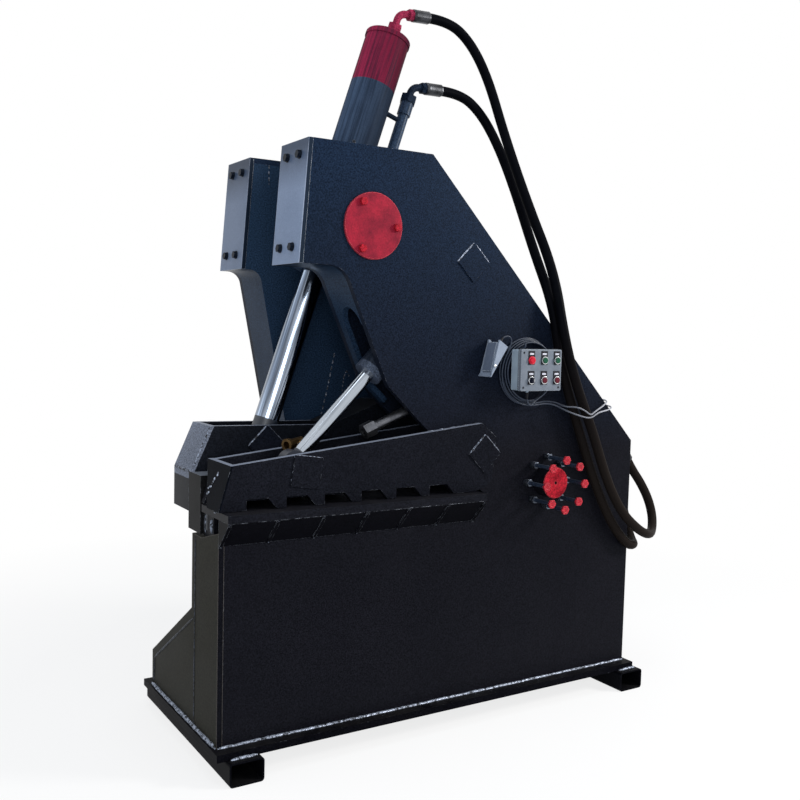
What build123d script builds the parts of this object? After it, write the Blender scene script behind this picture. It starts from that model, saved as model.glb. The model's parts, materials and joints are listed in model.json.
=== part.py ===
from build123d import *
import math
import os

os.makedirs("parts", exist_ok=True)

# Working axes: x runs from the base's front face to the rear, y from the near side plate to the far one, z up
# from the floor. The finished part is moved so that its origin is on the floor under the middle of the
# machine's own box, with the hoses and cables left out.
middle_x = 959.8
middle_y = 327.5

# Clearances of a running fit and of a bolt or pin in its hole, and how far a cut runs past the faces it opens
running_gap = 0.05
hole_gap = 0.2
cut_past = 1.0

# Frame plates
base_length = 1800.0
frame_width = 688.0
arm_width = 208.0
plate = 25.0
skin = 20.0
cover_thickness = 16.0
top_z = 2080.0
arm_front_top_x = 294.0
arm_front_bottom_x = 264.0
arm_bottom_z = 1674.0
slope_top_x = 777.0
slope_bottom_z = 1033.0
throat_corner_x = 433.0
throat_corner_radius = 86.0
throat_knee = (614.0, 1270.0)
throat_foot_x = 1045.0
throat_slope = 0.945
near_throat_end_x = 690.0
far_throat_corner_x = 337.0
far_throat_radius = 52.0
far_throat_foot = (496.0, 880.0)
cylinder_slot_end_x = 950.0
presser_slot_middle_y = 90.0
presser_slot_radius = 60.0
presser_slot_top_z = 1539.0
inner_notch_z = 1140.0
inner_notch_set_back = 9.0
cable_gland_x = (1640.0, 1664.0)
cable_gland_radius = 8.0
cable_gland_stand = 11.0
cable_gland_foot = 20.0
cable_gland_y = (60.0, 92.0)

# Front covers, trunnion covers and their bolts
front_bolt_spread = 46.0
front_bolt_z = (1728.0, 2031.0)
front_bolt_grip = 13.0
front_bolt_head = 10.0
washer_radius = 15.0
washer_height = 3.0
cover_radius = 113.0
cover_height = 8.0
cover_chamfer = 2.0
cover_bolt_count = 3
cover_bolt_circle = 90.0
cover_bolt_radius = 8.0
cover_bolt_flats = 24.0
cover_bolt_head = 11.0

# Base
skid_width = 120.0
skid_height = 80.0
skid_wall = 6.0
front_skid_x = 18.0
rear_skid_x = 1724.0
skid_near_y = -72.0
skid_far_y = 782.0
flange_thickness = 25.0
flange_front_x = -15.0
flange_rear_x = 1816.0
flange_near_y = -46.0
flange_far_y = 717.0
deck_z = skid_height + flange_thickness
column_top_z = 808.0
chute_thickness = 30.0
chute_top_z = 765.0
chute_bend_z = 508.0
chute_lip_y = 661.0
chute_lip_z = 235.0

# Feed table, blades and jaw line
table_z = 877.0
table_thickness = 25.0
table_length = 1000.0
ledge_overhang = 80.0
gusset_count = 7
gusset_thickness = 12.0
gusset_height = 93.0
gusset_lip = 8.0
soffit_set_back = 6.0
soffit_thickness = 5.0
seat_near_y = 92.0
seat_low_z = 700.0
seat_ledge_z = 760.0
shear_plane_y = 182.0
blade_thickness = 30.0
blade_depth = 90.0
blade_front_x = 20.0
blade_clearance = 0.6
blade_bolt_count = 5
blade_bolt_radius = 10.0
blade_bolt_level = 0.55
blade_bolt_head = 12.0
lower_bolt_reach = 70.0
upper_bolt_reach = 80.0
blade_lead = 105.0
blade_heel_lead = 12.0

# Main pivot
pivot = (1340.0, 893.0)
shaft_radius = 60.0
shaft_near_y = -66.0
shaft_chamfer = 3.0
shaft_centre_radius = 8.0
shaft_centre_depth = 8.0
shaft_head_radius = 85.0
thrust_radius = 116.0
thrust_gap = 0.5
adjuster_circle = 95.0
adjuster_count = 8
adjuster_radius = 8.0
adjuster_flats = 30.0
adjuster_head_y = -127.0
adjuster_head_height = 8.0
adjuster_dimple_radius = 9.0
adjuster_dimple_depth = 1.5
lock_nut_flats = 24.0
lock_nut_height = 16.0
jam_nut_y = (-28.0, -19.0)

# Main cylinder
gap_middle_y = frame_width / 2
trunnion = (540.0, 1813.0)
jaw_pin = (285.0, 1046.0)
barrel_radius = 84.0
barrel_bore_radius = 70.0
barrel_bottom = -130.0
barrel_top = 770.0
cap_radius = 87.0
cap_height = 22.0
cap_round = 9.0
trunnion_radius = 45.0
trunnion_ring_radius = 106.0
trunnion_ring_height = 100.0
trunnion_end_gap = 20.0
bush_radius = 65.0
rod_radius = 45.0
piston_top = -5.0
piston_height = 60.0
eye_radius = 62.0
eye_width = 94.0
jaw_pin_radius = 30.0
jaw_pin_play = 6.5
side_tube_offset = 158.0
side_tube_radius = 21.0
side_tube_top = 600.0
side_tube_bottom = -95.0
side_tube_wall = 5.0
side_tube_bend = 40.0
side_tube_root = 6.0
socket_height = 50.0
socket_wall = 5.0
port_radius = 12.0
head_port_offset = 12.0
strut_z = 523.0
strut_radius = 9.0
strut_root = 2.0
gland_flange_height = 22.0
gland_plug_top = -110.0

# Moving jaw
jaw_front_x = 7.0
jaw_beam_far_y = 297.0
jaw_beam_top_z = 966.0
jaw_tongue_z = 771.0
jaw_box_near_y = 273.0
jaw_box_far_y = 448.0
jaw_box_bottom_z = 829.0
jaw_box_top_z = 1120.0
jaw_lean = 67.0
jaw_ramp = [(540.0, 1112.0), (760.0, 1195.0)]
jaw_hump_rear = (1000.0, 1180.0)
jaw_floor_rear_x = 1000.0
jaw_hub_radius = 120.0
jaw_hub_near_y = 210.0
jaw_hub_far_y = 478.0
jaw_hub_lap = 30.0
beam_rear_x = 1005.0
beam_tail_lap = 60.0
blade_proud = 4.0

# Hold-down arm
presser_pivot = (1023.0, 1016.0)
presser_pin = (290.0, 1008.0)
presser_base_pin = (966.0, 1714.0)
presser_near_y = -26.0
presser_far_y = 175.0
presser_front_x = -12.0
presser_lean = 42.0
presser_front_top_z = 1024.0
presser_front_far_y = 180.0
presser_front_low_y = 75.0
presser_floor_x = (40.0, 480.0)
presser_floor_z = 905.0
tooth_z = 879.0
presser_tail = [(1009.0, 1130.0), (1075.0, 1078.0), (1061.0, 922.0), (1035.0, 895.0), (985.0, tooth_z)]
notch_count = 6
notch_first_x = 83.0
notch_pitch = 140.0
notch_top_width = 75.0
notch_run = 31.0
notch_height = 35.0
presser_pivot_radius = 35.0
presser_boss_radius = 55.0
presser_boss_gap = 2.0
presser_pin_radius = 25.0
presser_pin_play = 3.2
keeper_side = 100.0
keeper_thickness = 5.0
rod_keeper_middle = (294.0, 991.0)
rod_keeper_side = 104.0
rod_keeper_turn = -8.0
presser_cylinder_y = 80.0
presser_barrel_radius = 51.0
presser_neck_radius = 36.0
presser_bore_radius = 40.0
presser_rod_radius = 25.0
presser_barrel_start = 60.0
presser_barrel_end = 565.0
presser_gland_height = 40.0
presser_piston_height = 40.0
presser_piston_gap = 10.0
presser_eye_radius = 45.0
presser_eye_width = 50.0

# Control box, cable coil and foot switch
box_corner = (1115.0, 1254.0)
box_size = (190.0, 150.0)
box_wall = 4.0
box_round = 6.0
box_back_y = -52.0
box_front_y = -95.0
box_bracket = (56.0, 44.0)
lid_front_y = -110.0
lid_lap = 2.0
lid_round = 7.0
lid_edge_round = 3.0
button_first_x = 1160.5
button_pitch_x = 60.8
button_row_z = (1292.0, 1365.5)
button_radius = 11.0
button_gap = 0.4
button_proud = 4.0
button_round = 1.5
button_tail = 5.0
selector_face = 1.0
selector_grip_width = 7.0
selector_grip_height = 9.0
selector_grip_length = 20.0
bezel_radius = 14.5
bezel_height = 7.0
legend_width = 30.0
legend_height = 50.0
legend_thickness = 1.5
legend_rise = 9.0
coil_middle = (1218.0, 1322.0)
coil_turns = 4
coil_first_angle = 300.0
coil_last_angle = 270.0
coil_first_radius = 106.0
coil_growth = 5.0
coil_pitch = 9.8
coil_first_y = -46.0
cable_radius = 3.0
box_gland_wall = 3.0
hook_radius = 4.0
hook_angle = 118.0
hook_gap = 0.5
hook_end_y = -58.0
hook_rise = 20.0
hook_bend = 10.0
pedal_toe = (1005.2, 1302.3)
pedal_length = 132.0
pedal_lean = 33.2
pedal_near_y = -74.0
pedal_sole = 3.5
pedal_guard = 8.0
pedal_guard_rise = (4.5, 46.0)
pedal_guard_start = 8.0
pedal_far_guard_y = -12.0
pedal_heel = 6.0
pedal_heel_rise = 30.0
pedal_stop = (84.0, 112.0)
pedal_stop_rise = 11.0
pedal_stop_y = (-54.0, -24.0)
pedal_hinge_at = (42.0, 10.5)
pedal_pin_radius = 3.0
pedal_pin_head = 3.0
pedal_tread = [(20.0, 5.0), (20.0, 9.0), (120.0, 46.3), (120.0, 32.3), (48.0, 5.5)]
pedal_boss = 8.0
pedal_boss_radius = 7.0
pedal_boss_off = 13.0

# Pipe fittings
hose_radius = 19.0
ferrule_radius = 22.0
ferrule_length = 72.0
ferrule_collar = 18.0
elbow_radius = 14.0
elbow_bend = 40.0
head_nut_flats = 48.0
head_nut_height = 56.0
return_nut_flats = 56.0
return_nut_height = 30.0
rear_ferrule_radius = 23.0
rear_ferrule_length = 34.0
rear_elbow_bend = 30.0
rear_nut_flats = 52.0
rear_nut_height = 26.0
rear_port_z = 985.0
pipe_low = (554.0, 60.0, 1105.0)
pipe_high = (860.0, 60.0, 1231.0)
pipe_radius = 17.0
pipe_wall = 4.0
pipe_bore_depth = 60.0
pipe_nut_flats = 50.0
pipe_nut_height = 45.0
pipe_bracket_x = (800.0, 850.0)
pipe_bracket_z = (1196.0, 1238.0)
union_mouth = (290.6, 127.0, 1062.0)
union_way = (0.91, 0.40, 0.08)
union_length = 80.0
union_radius = 18.0
union_collar_radius = 22.0
union_collar = 14.0
union_bore_radius = 13.0
union_bore_depth = 30.0

# Routes of the hoses and cables, each a line of points that the tube rounds off
pressure_route = [
    (964, 344, 2668), (1062, 344, 2674), (1164, 338, 2612), (1238, 312, 2478), (1284, 250, 2245),
    (1303, 118, 1970), (1328, -25, 1700), (1345, -78, 1450), (1420, -70, 1270), (1512, -70, 1095),
    (1600, -70, 890), (1690, -70, 752), (1790, -68, 672), (1880, -42, 636), (1966, 18, 630),
    (2014, 62, 682), (2003, 78, 755), (1951, 80, 834), (1898, 82, 893), (1866, 84, 940),
]
return_route = [
    (1030, 344, 2402.6), (1128, 344, 2406), (1222, 334, 2344), (1293, 306, 2222), (1332, 240, 2045),
    (1335, 110, 1790), (1331, -24, 1570), (1370, -27, 1365), (1465, -26, 1130), (1580, -26, 870),
    (1672, -28, 708), (1762, -35, 606), (1826, -19, 594), (1880, 54, 600), (1920, 130, 670),
    (1938, 191, 800), (1912, 205, 940),
]
lead_route = [(1172, -76, 1242), (1175, -74, 1210), (1204, -58, 1190), (1240, -46.2, 1212.2)]
control_cable_route = [
    (1268, -9, 1197), (1320, -14, 1206), (1346, -46, 1201), (1352, -86, 1188), (1390, -108, 1189),
    (1431, -110, 1176), (1467, -108, 1154), (1512, -82, 1165), (1562, -52, 1173), (1612, -26, 1183),
    (1646, -14, 1200), (1648, 25, 1204.4), (1647.9, 60, 1204.4),
]
pedal_cable_route = [
    (1071, -35, 1426.6), (1079, -35, 1438.8), (1092, -34, 1450), (1116, -33, 1452), (1130, -32, 1434),
    (1118, -30, 1400), (1098, -28, 1362), (1090, -27, 1315), (1098, -28, 1265), (1130, -30, 1222),
    (1184, -32, 1196), (1240, -33, 1191), (1295, -36, 1199), (1334, -48, 1194), (1353, -88, 1175),
    (1412, -107, 1153), (1470, -106, 1142), (1548, -62, 1159), (1606, -36, 1162), (1652, -20, 1166),
    (1670, -14, 1175.5), (1672, 25, 1179.9), (1671.9, 60, 1179.9),
]


def save(name, shape):
    """Write one node, moved so that the origin lies under the middle of the machine."""
    export_step(Pos(-middle_x, -middle_y, 0) * shape, f"parts/{name}.step")


def block(x0, x1, y0, y1, z0, z1):
    middle = Pos((x0 + x1) / 2, (y0 + y1) / 2, (z0 + z1) / 2)
    return middle * Box(x1 - x0, y1 - y0, z1 - z0)


def slab_y(points, y0, y1):
    """A plate whose outline lies in x and z, from y0 to y1."""
    face = Pos(0, y0, 0) * (Plane.XZ * make_face(Polyline(*points, close=True)))
    return extrude(face, amount=y1 - y0, dir=(0, 1, 0))


def slab_x(points, x0, x1):
    """A plate whose outline lies in y and z, from x0 to x1."""
    face = Pos(x0, 0, 0) * (Plane.YZ * make_face(Polyline(*points, close=True)))
    return extrude(face, amount=x1 - x0, dir=(1, 0, 0))


def bar_y(at, radius, y0, y1):
    """A round bar along y at the place (x, z)."""
    return Pos(at[0], (y0 + y1) / 2, at[1]) * Rot(90, 0, 0) * Cylinder(radius, abs(y1 - y0))


def hole_y(at, radius, y0, y1):
    """A bar that runs past both faces of a plate from y0 to y1, to be cut from it."""
    return bar_y(at, radius, y0 - cut_past, y1 + cut_past)


def hexagon(flats):
    return RegularPolygon(flats / 2, 6, major_radius=False)


def hexagon_y(at, flats, y0, y1):
    face = Pos(at[0], min(y0, y1), at[1]) * (Plane.XZ * hexagon(flats))
    return extrude(face, amount=abs(y1 - y0), dir=(0, 1, 0))


def keeper_y(at, angle, y0, y1, side=keeper_side):
    """A square keeper plate turned in its plane."""
    face = Pos(at[0], y0, at[1]) * (Plane.XZ * (Rot(0, 0, angle) * Rectangle(side, side)))
    return extrude(face, amount=y1 - y0, dir=(0, 1, 0))


def round_corner(solid, corner, radius):
    """Fillet the edge along y that stands at the corner (x, z)."""
    chosen = []
    for edge in solid.edges().filter_by(Axis.Y):
        middle = edge.center()
        if math.hypot(middle.X - corner[0], middle.Z - corner[1]) < 1:
            chosen.append(edge)
    return fillet(chosen, radius)


def ring_of_places(at, radius, count):
    angles = [2 * math.pi * i / count for i in range(count)]
    return [(at[0] + radius * math.cos(a), at[1] + radius * math.sin(a)) for a in angles]


def offset_line(points, distance):
    """The mitred parallel of an open line in a plane, on its left for a positive distance."""
    normals = []
    for (ax, az), (bx, bz) in zip(points, points[1:]):
        run = math.hypot(bx - ax, bz - az)
        normals.append((-(bz - az) / run, (bx - ax) / run))
    ends = [normals[0]] + normals + [normals[-1]]
    moved = []
    for (x, z), before, after in zip(points, ends, ends[1:]):
        reach = distance / (1 + before[0] * after[0] + before[1] * after[1])
        moved.append((x + (before[0] + after[0]) * reach, z + (before[1] + after[1]) * reach))
    return moved


def throat_z(x):
    """Height of the near throat's lower slope at x."""
    return throat_knee[1] - throat_slope * (x - throat_knee[0])


def throat_x(z):
    """Place on the near throat's lower slope at the height z."""
    return throat_knee[0] + (throat_knee[1] - z) / throat_slope


def tube_along(path, radius, bore=0.0):
    section = Plane(origin=path @ 0, z_dir=path % 0)
    solid = sweep(section * Circle(radius), path=path)
    if bore:
        solid -= sweep(section * Circle(bore), path=path)
    return solid


def route_tube(name, points, radius):
    """A free hose or cable: straight runs joined by the largest tangent arcs that they allow."""
    places = [Vector(*point) for point in points]
    runs = [after - before for before, after in zip(places, places[1:])]
    radii = []
    for first, second in zip(runs, runs[1:]):
        turn = math.radians(first.get_angle(second))
        radii.append(0.45 * min(first.length, second.length) / math.tan(turn / 2))
    path = FilletPolyline(*points, radius=radii)
    solid = tube_along(path, radius)
    ideal = math.pi * radius ** 2 * path.length
    ratio = round(solid.volume / ideal, 4)
    print(name, "length", round(path.length), "diameter", 2 * radius, "volume ratio", ratio)
    print("  radii", [round(value) for value in radii])
    return solid


# The side plates

outline_top = [(arm_front_top_x + cover_thickness, top_z), (slope_top_x, top_z)]
outline_rear = [(base_length, slope_bottom_z), (base_length, deck_z)]
arm_front_foot = (arm_front_bottom_x + cover_thickness, arm_bottom_z)
throat_corner = (throat_corner_x, arm_bottom_z)
near_throat_rise = [throat_knee, throat_corner, arm_front_foot]
far_throat_corner = (far_throat_corner_x, arm_bottom_z)
far_throat_end = (throat_foot_x, far_throat_foot[1])
spine_line = outline_top + outline_rear
spine_inside = offset_line(spine_line, -skin)
table_under_z = table_z - table_thickness
table_corner_x = throat_x(table_under_z)

near_inner_y = arm_width - plate
far_inner_y = frame_width - arm_width
far_outer_y = frame_width - plate
presser_boss_far_y = presser_far_y - plate - presser_boss_gap
cover_places = ring_of_places(trunnion, cover_bolt_circle, cover_bolt_count)
adjuster_places = ring_of_places(pivot, adjuster_circle, adjuster_count)


def throat_round(solid):
    solid = round_corner(solid, throat_corner, throat_corner_radius)
    return round_corner(solid, throat_knee, throat_corner_radius)


def near_outer_plate():
    outline = outline_top + outline_rear
    outline += [(skin, deck_z), (skin, table_under_z), (table_corner_x, table_under_z)] + near_throat_rise
    solid = throat_round(slab_y(outline, 0, plate))
    solid += bar_y(presser_pivot, presser_boss_radius, plate, presser_boss_far_y)
    solid -= hole_y(presser_pivot, presser_pivot_radius + running_gap, 0, presser_boss_far_y)
    solid -= hole_y(presser_base_pin, presser_pin_radius + hole_gap, 0, plate)
    solid -= hole_y(trunnion, bush_radius, 0, plate)
    solid -= hole_y(pivot, shaft_radius + hole_gap, 0, plate)
    for place in adjuster_places:
        solid -= hole_y(place, adjuster_radius + hole_gap, 0, plate)
    for place in cover_places:
        solid -= hole_y(place, cover_bolt_radius + hole_gap, 0, plate)
    return solid


def near_inner_plate():
    notch_x = table_corner_x - inner_notch_set_back
    outline = spine_inside[:3] + [(base_length - skin, deck_z), (skin, deck_z), (skin, chute_top_z)]
    outline += [(notch_x, chute_top_z), (notch_x, inner_notch_z), (throat_x(inner_notch_z), inner_notch_z)]
    outline += near_throat_rise
    solid = throat_round(slab_y(outline, near_inner_y, arm_width))
    solid -= hole_y(presser_base_pin, presser_pin_radius + hole_gap, near_inner_y, arm_width)
    solid -= hole_y(trunnion, bush_radius, near_inner_y, arm_width)
    return solid - hole_y(pivot, thrust_radius + hole_gap, near_inner_y, arm_width)


def far_plate(y0, top, rear, bolt_places):
    outline = top + rear + [(throat_foot_x, deck_z), far_throat_end, far_throat_foot]
    outline += [far_throat_corner, arm_front_foot]
    solid = round_corner(slab_y(outline, y0, y0 + plate), far_throat_corner, far_throat_radius)
    solid -= hole_y(trunnion, bush_radius, y0, y0 + plate)
    solid -= hole_y(pivot, shaft_radius + hole_gap, y0, y0 + plate)
    for place in bolt_places:
        solid -= hole_y(place, cover_bolt_radius + hole_gap, y0, y0 + plate)
    return solid


save("near_outer_plate", near_outer_plate())
save("near_inner_plate", near_inner_plate())
save("far_inner_plate", far_plate(far_inner_y, spine_inside[:2], spine_inside[2:], []))
save("far_outer_plate", far_plate(far_outer_y, outline_top, outline_rear, cover_places))


# Spine over the arms, the rear slope and the back, open between the arms where the cylinder stands

slope_angle = math.atan2(top_z - slope_bottom_z, base_length - slope_top_x)
slope_normal = (math.sin(slope_angle), 0, math.cos(slope_angle))


def slope_z(x):
    return top_z - math.tan(slope_angle) * (x - slope_top_x)


def cable_gland(x):
    """A short sleeve along y on a foot that stands on the rear slope."""
    axis = (x + cable_gland_stand * slope_normal[0], slope_z(x) + cable_gland_stand * slope_normal[2])
    foot = Plane(origin=(x, sum(cable_gland_y) / 2, slope_z(x)), x_dir=(0, 1, 0), z_dir=slope_normal)
    stand = Pos(0, 0, cable_gland_stand / 2) * Box(cable_gland_foot, 2 * cable_gland_radius, cable_gland_stand)
    return bar_y(axis, cable_gland_radius, *cable_gland_y) + foot * stand


spine = slab_y(spine_line + spine_inside[::-1], plate, far_outer_y)
spine -= block(0, cylinder_slot_end_x, arm_width, far_inner_y, arm_bottom_z, top_z + cut_past)
for gland_x in cable_gland_x:
    spine += cable_gland(gland_x)
save("spine_plate", spine)


# Throat plates between the side plates of each arm; the near one is slotted for the presser cylinder

front_tilt = math.atan2(arm_front_top_x - arm_front_bottom_x, top_z - arm_bottom_z)
throat_start = (arm_front_foot[0] + skin * math.tan(front_tilt), arm_bottom_z)


def throat_plate(line, bends, y0, y1):
    """A bent plate under an arm; bends holds each corner's radius on its lower and on its upper side."""
    back = offset_line(line, skin)
    solid = slab_y(line + back[::-1], y0, y1)
    for low, high, (low_radius, high_radius) in zip(line[1:], back[1:], bends):
        solid = round_corner(solid, low, low_radius)
        solid = round_corner(solid, high, high_radius)
    return solid


def near_throat():
    line = [throat_start, throat_corner, throat_knee, (near_throat_end_x, throat_z(near_throat_end_x))]
    bends = [
        (throat_corner_radius, throat_corner_radius + skin),
        (throat_corner_radius, throat_corner_radius - skin),
    ]
    solid = throat_plate(line, bends, plate, near_inner_y)
    slot_x = (throat_corner_x, near_throat_end_x + skin)
    round_z = presser_slot_top_z - presser_slot_radius
    slot_far_y = presser_slot_middle_y + presser_slot_radius
    solid -= block(*slot_x, plate - cut_past, slot_far_y, table_z, round_z)
    top = Pos(sum(slot_x) / 2, presser_slot_middle_y, round_z) * Rot(0, 90, 0)
    return solid - top * Cylinder(presser_slot_radius, slot_x[1] - slot_x[0])


def far_throat():
    line = [throat_start, far_throat_corner, far_throat_foot, far_throat_end]
    radii = [(far_throat_radius, far_throat_radius + skin)]
    return throat_plate(line, radii, far_inner_y + plate, far_outer_y)


save("throat_plates", Compound([near_throat(), far_throat()]))


# Front covers and their bolts, with the trunnion covers and theirs

def front_x(z):
    return arm_front_bottom_x + math.tan(front_tilt) * (z - arm_bottom_z)


def front_seat(y, z):
    """A plane on the slanted cover that faces out."""
    outward = (-math.cos(front_tilt), 0, math.sin(front_tilt))
    return Plane(origin=(front_x(z), y, z), x_dir=(0, 1, 0), z_dir=outward)


def front_bolt(y, z):
    washer = extrude(Circle(washer_radius), washer_height)
    head = Pos(0, 0, washer_height) * extrude(hexagon(cover_bolt_flats), front_bolt_head)
    shank = Pos(0, 0, -front_bolt_grip / 2) * Cylinder(cover_bolt_radius, front_bolt_grip)
    return front_seat(y, z) * (washer + head + shank)


def front_cover(y0, bolt_places):
    outline = [
        (arm_front_bottom_x, arm_bottom_z),
        arm_front_foot,
        (arm_front_top_x + cover_thickness, top_z),
        (arm_front_top_x, top_z),
    ]
    solid = slab_y(outline, y0, y0 + arm_width)
    for y, z in bolt_places:
        solid -= front_seat(y, z) * Cylinder(cover_bolt_radius + hole_gap, 3 * cover_thickness)
    return solid


def trunnion_cover(side, face_y):
    """The round cover on the face at face_y; side is the way that it faces."""
    outer_y = face_y + side * cover_height
    disc = bar_y(trunnion, cover_radius, face_y, outer_y)
    rims = disc.edges().filter_by(GeomType.CIRCLE).sort_by(Axis.Y)
    disc = chamfer(rims[0] if side < 0 else rims[-1], cover_chamfer)
    for place in cover_places:
        disc -= hole_y(place, cover_bolt_radius + hole_gap, face_y - cover_height, face_y + cover_height)
    return disc


def trunnion_bolt(place, side, face_y):
    outer_y = face_y + side * cover_height
    head = hexagon_y(place, cover_bolt_flats, outer_y, outer_y + side * cover_bolt_head)
    return head + bar_y(place, cover_bolt_radius, outer_y, face_y - side * plate)


covers = []
bolts = []
for arm_y in (0.0, far_inner_y):
    bolt_y = [arm_y + arm_width / 2 + spread for spread in (-front_bolt_spread, front_bolt_spread)]
    places = [(y, z) for y in bolt_y for z in front_bolt_z]
    covers.append(front_cover(arm_y, places))
    bolts += [front_bolt(y, z) for y, z in places]
save("front_covers", Compound(covers))

trunnion_covers = []
for side, face_y in ((-1, 0.0), (1, frame_width)):
    trunnion_covers.append(trunnion_cover(side, face_y))
    bolts += [trunnion_bolt(place, side, face_y) for place in cover_places]
save("trunnion_covers", Compound(trunnion_covers))
save("cover_bolts", Compound(bolts))


# Base: skids, flange plate, front plate with the chute behind it

skids = []
for skid_x in (front_skid_x, rear_skid_x):
    middle = Pos(skid_x + skid_width / 2, skid_near_y, skid_height / 2)
    outer = RectangleRounded(skid_width, skid_height, 2 * skid_wall)
    inner = RectangleRounded(skid_width - 2 * skid_wall, skid_height - 2 * skid_wall, skid_wall)
    tube = extrude(middle * (Plane.XZ * (outer - inner)), amount=skid_far_y - skid_near_y, dir=(0, 1, 0))
    skids.append(tube)
save("base_skids", Compound(skids))
save("base_plate", block(flange_front_x, flange_rear_x, flange_near_y, flange_far_y, skid_height, deck_z))

chute_near_y = arm_width
seat_far_y = shear_plane_y - blade_thickness
chute_line = [
    (chute_near_y + chute_thickness, chute_top_z),
    (chute_near_y + chute_thickness, chute_bend_z),
    (chute_lip_y, chute_lip_z),
]
chute_under = offset_line(chute_line, -chute_thickness)
front_outline = [(0, deck_z), (chute_lip_y, deck_z)] + chute_line[::-1]
front_outline += [(seat_far_y, chute_top_z), (0, column_top_z)]
chute = slab_x(chute_line + chute_under[::-1], skin, throat_foot_x)
chute += block(skin, throat_foot_x, chute_lip_y - skin, chute_lip_y, deck_z, chute_lip_z - chute_thickness)
chute += slab_x(front_outline, 0, skin)
save("discharge_chute", chute)


# Feed table with the gussets and closing plates of its ledge, lower blade and seat

save("feed_table", block(0, table_length, -ledge_overhang, seat_far_y, table_under_z, table_z))
gusset_outline = [
    (0, table_under_z),
    (-ledge_overhang, table_under_z),
    (-ledge_overhang, table_under_z - gusset_lip),
    (0, table_under_z - gusset_height),
]
soffit_slope = (gusset_height - gusset_lip) / ledge_overhang
soffit_top_run = (soffit_set_back + soffit_thickness - gusset_lip) / soffit_slope
soffit_foot_z = table_under_z - gusset_height + soffit_set_back
soffit_outline = [
    (-ledge_overhang, table_under_z - gusset_lip + soffit_set_back),
    (-ledge_overhang, table_under_z),
    (soffit_top_run - ledge_overhang, table_under_z),
    (0, soffit_foot_z + soffit_thickness),
    (0, soffit_foot_z),
]
gusset_pitch = (table_length - gusset_thickness) / (gusset_count - 1)
gusset_starts = [gusset_pitch * i for i in range(gusset_count)]
gussets = [slab_x(gusset_outline, x, x + gusset_thickness) for x in gusset_starts]
for before, after in zip(gusset_starts, gusset_starts[1:]):
    gussets.append(slab_x(soffit_outline, before + gusset_thickness + running_gap, after - running_gap))
save("ledge_gussets", Compound(gussets))

blade_rear_x = table_length
blade_low_z = table_z - blade_depth
bolt_pitch = (blade_rear_x - blade_front_x) / blade_bolt_count
blade_bolt_x = [blade_front_x + bolt_pitch * (i + 0.5) for i in range(blade_bolt_count)]


def blade_bolt(x, z, side, face_y, reach, clearance=0.0):
    """A countersunk blade bolt entering from the face at face_y; side is the way that its head faces."""
    bolt = bar_y((x, z), blade_bolt_radius + clearance, face_y, face_y - side * reach)
    cone = Cone(blade_bolt_radius + clearance, 2 * blade_bolt_radius + clearance, blade_bolt_head)
    return bolt + Pos(x, face_y - side * blade_bolt_head / 2, z) * Rot(-90 * side, 0, 0) * cone


seat_outline = [
    (seat_near_y, seat_low_z),
    (near_inner_y, seat_low_z),
    (near_inner_y, seat_ledge_z),
    (shear_plane_y, seat_ledge_z),
    (shear_plane_y, blade_low_z),
    (seat_far_y, blade_low_z),
    (seat_far_y, table_under_z),
    (seat_near_y, table_under_z),
]
lower_blade = block(blade_front_x, blade_rear_x, seat_far_y, shear_plane_y, blade_low_z, table_z)
seat = slab_x(seat_outline, skin, blade_rear_x)
lower_bolts = []
lower_bolt_z = table_z - blade_depth * blade_bolt_level
for bolt_x in blade_bolt_x:
    bolt_at = (bolt_x, lower_bolt_z)
    lower_blade -= blade_bolt(*bolt_at, 1, shear_plane_y, lower_bolt_reach, hole_gap)
    seat -= hole_y(bolt_at, blade_bolt_radius + hole_gap, shear_plane_y - lower_bolt_reach, shear_plane_y)
    lower_bolts.append(blade_bolt(*bolt_at, 1, shear_plane_y, lower_bolt_reach))
save("lower_blade", lower_blade)
save("lower_blade_seat", seat)
save("lower_blade_bolts", Compound(lower_bolts))


# Main pivot shaft, thrust ring and the adjusting bolts round it

shaft = bar_y(pivot, shaft_radius, shaft_near_y, frame_width)
shaft += bar_y(pivot, shaft_head_radius, frame_width, frame_width + skin)
shaft = chamfer(shaft.edges().filter_by(GeomType.CIRCLE).sort_by(Axis.Y)[0], shaft_chamfer)
centre_place = Pos(pivot[0], shaft_near_y + shaft_centre_depth / 2, pivot[1])
shaft -= centre_place * Rot(90, 0, 0) * Cone(1, shaft_centre_radius, shaft_centre_depth)
save("main_shaft", shaft)

thrust_far_y = jaw_hub_near_y - thrust_gap
ring = bar_y(pivot, thrust_radius, near_inner_y, thrust_far_y)
save("thrust_ring", ring - hole_y(pivot, shaft_radius + hole_gap, near_inner_y, thrust_far_y))


def adjuster(place):
    """A long bolt with a shallow dimple in its head."""
    solid = hexagon_y(place, adjuster_flats, adjuster_head_y, adjuster_head_y + adjuster_head_height)
    solid += bar_y(place, adjuster_radius, adjuster_head_y, near_inner_y)
    dimple_y = adjuster_head_y + adjuster_dimple_depth
    return solid - bar_y(place, adjuster_dimple_radius, adjuster_head_y - cut_past, dimple_y)


def adjuster_nut(place, y0, y1):
    return hexagon_y(place, lock_nut_flats, y0, y1) - hole_y(place, adjuster_radius + hole_gap, y0, y1)


save("adjusting_bolts", Compound([adjuster(place) for place in adjuster_places]))
nuts = [adjuster_nut(place, -lock_nut_height, 0) for place in adjuster_places]
nuts += [adjuster_nut(place, *jam_nut_y) for place in adjuster_places]
save("adjusting_lock_nuts", Compound(nuts))

bushes = []
for bush_y in (0.0, far_inner_y):
    bush = bar_y(trunnion, bush_radius, bush_y, bush_y + arm_width)
    bushes.append(bush - hole_y(trunnion, trunnion_radius + running_gap, bush_y, bush_y + arm_width))
save("trunnion_bushes", Compound(bushes))


# Main cylinder, drawn upright at its trunnion and then leaned to the line through the jaw pin

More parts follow.
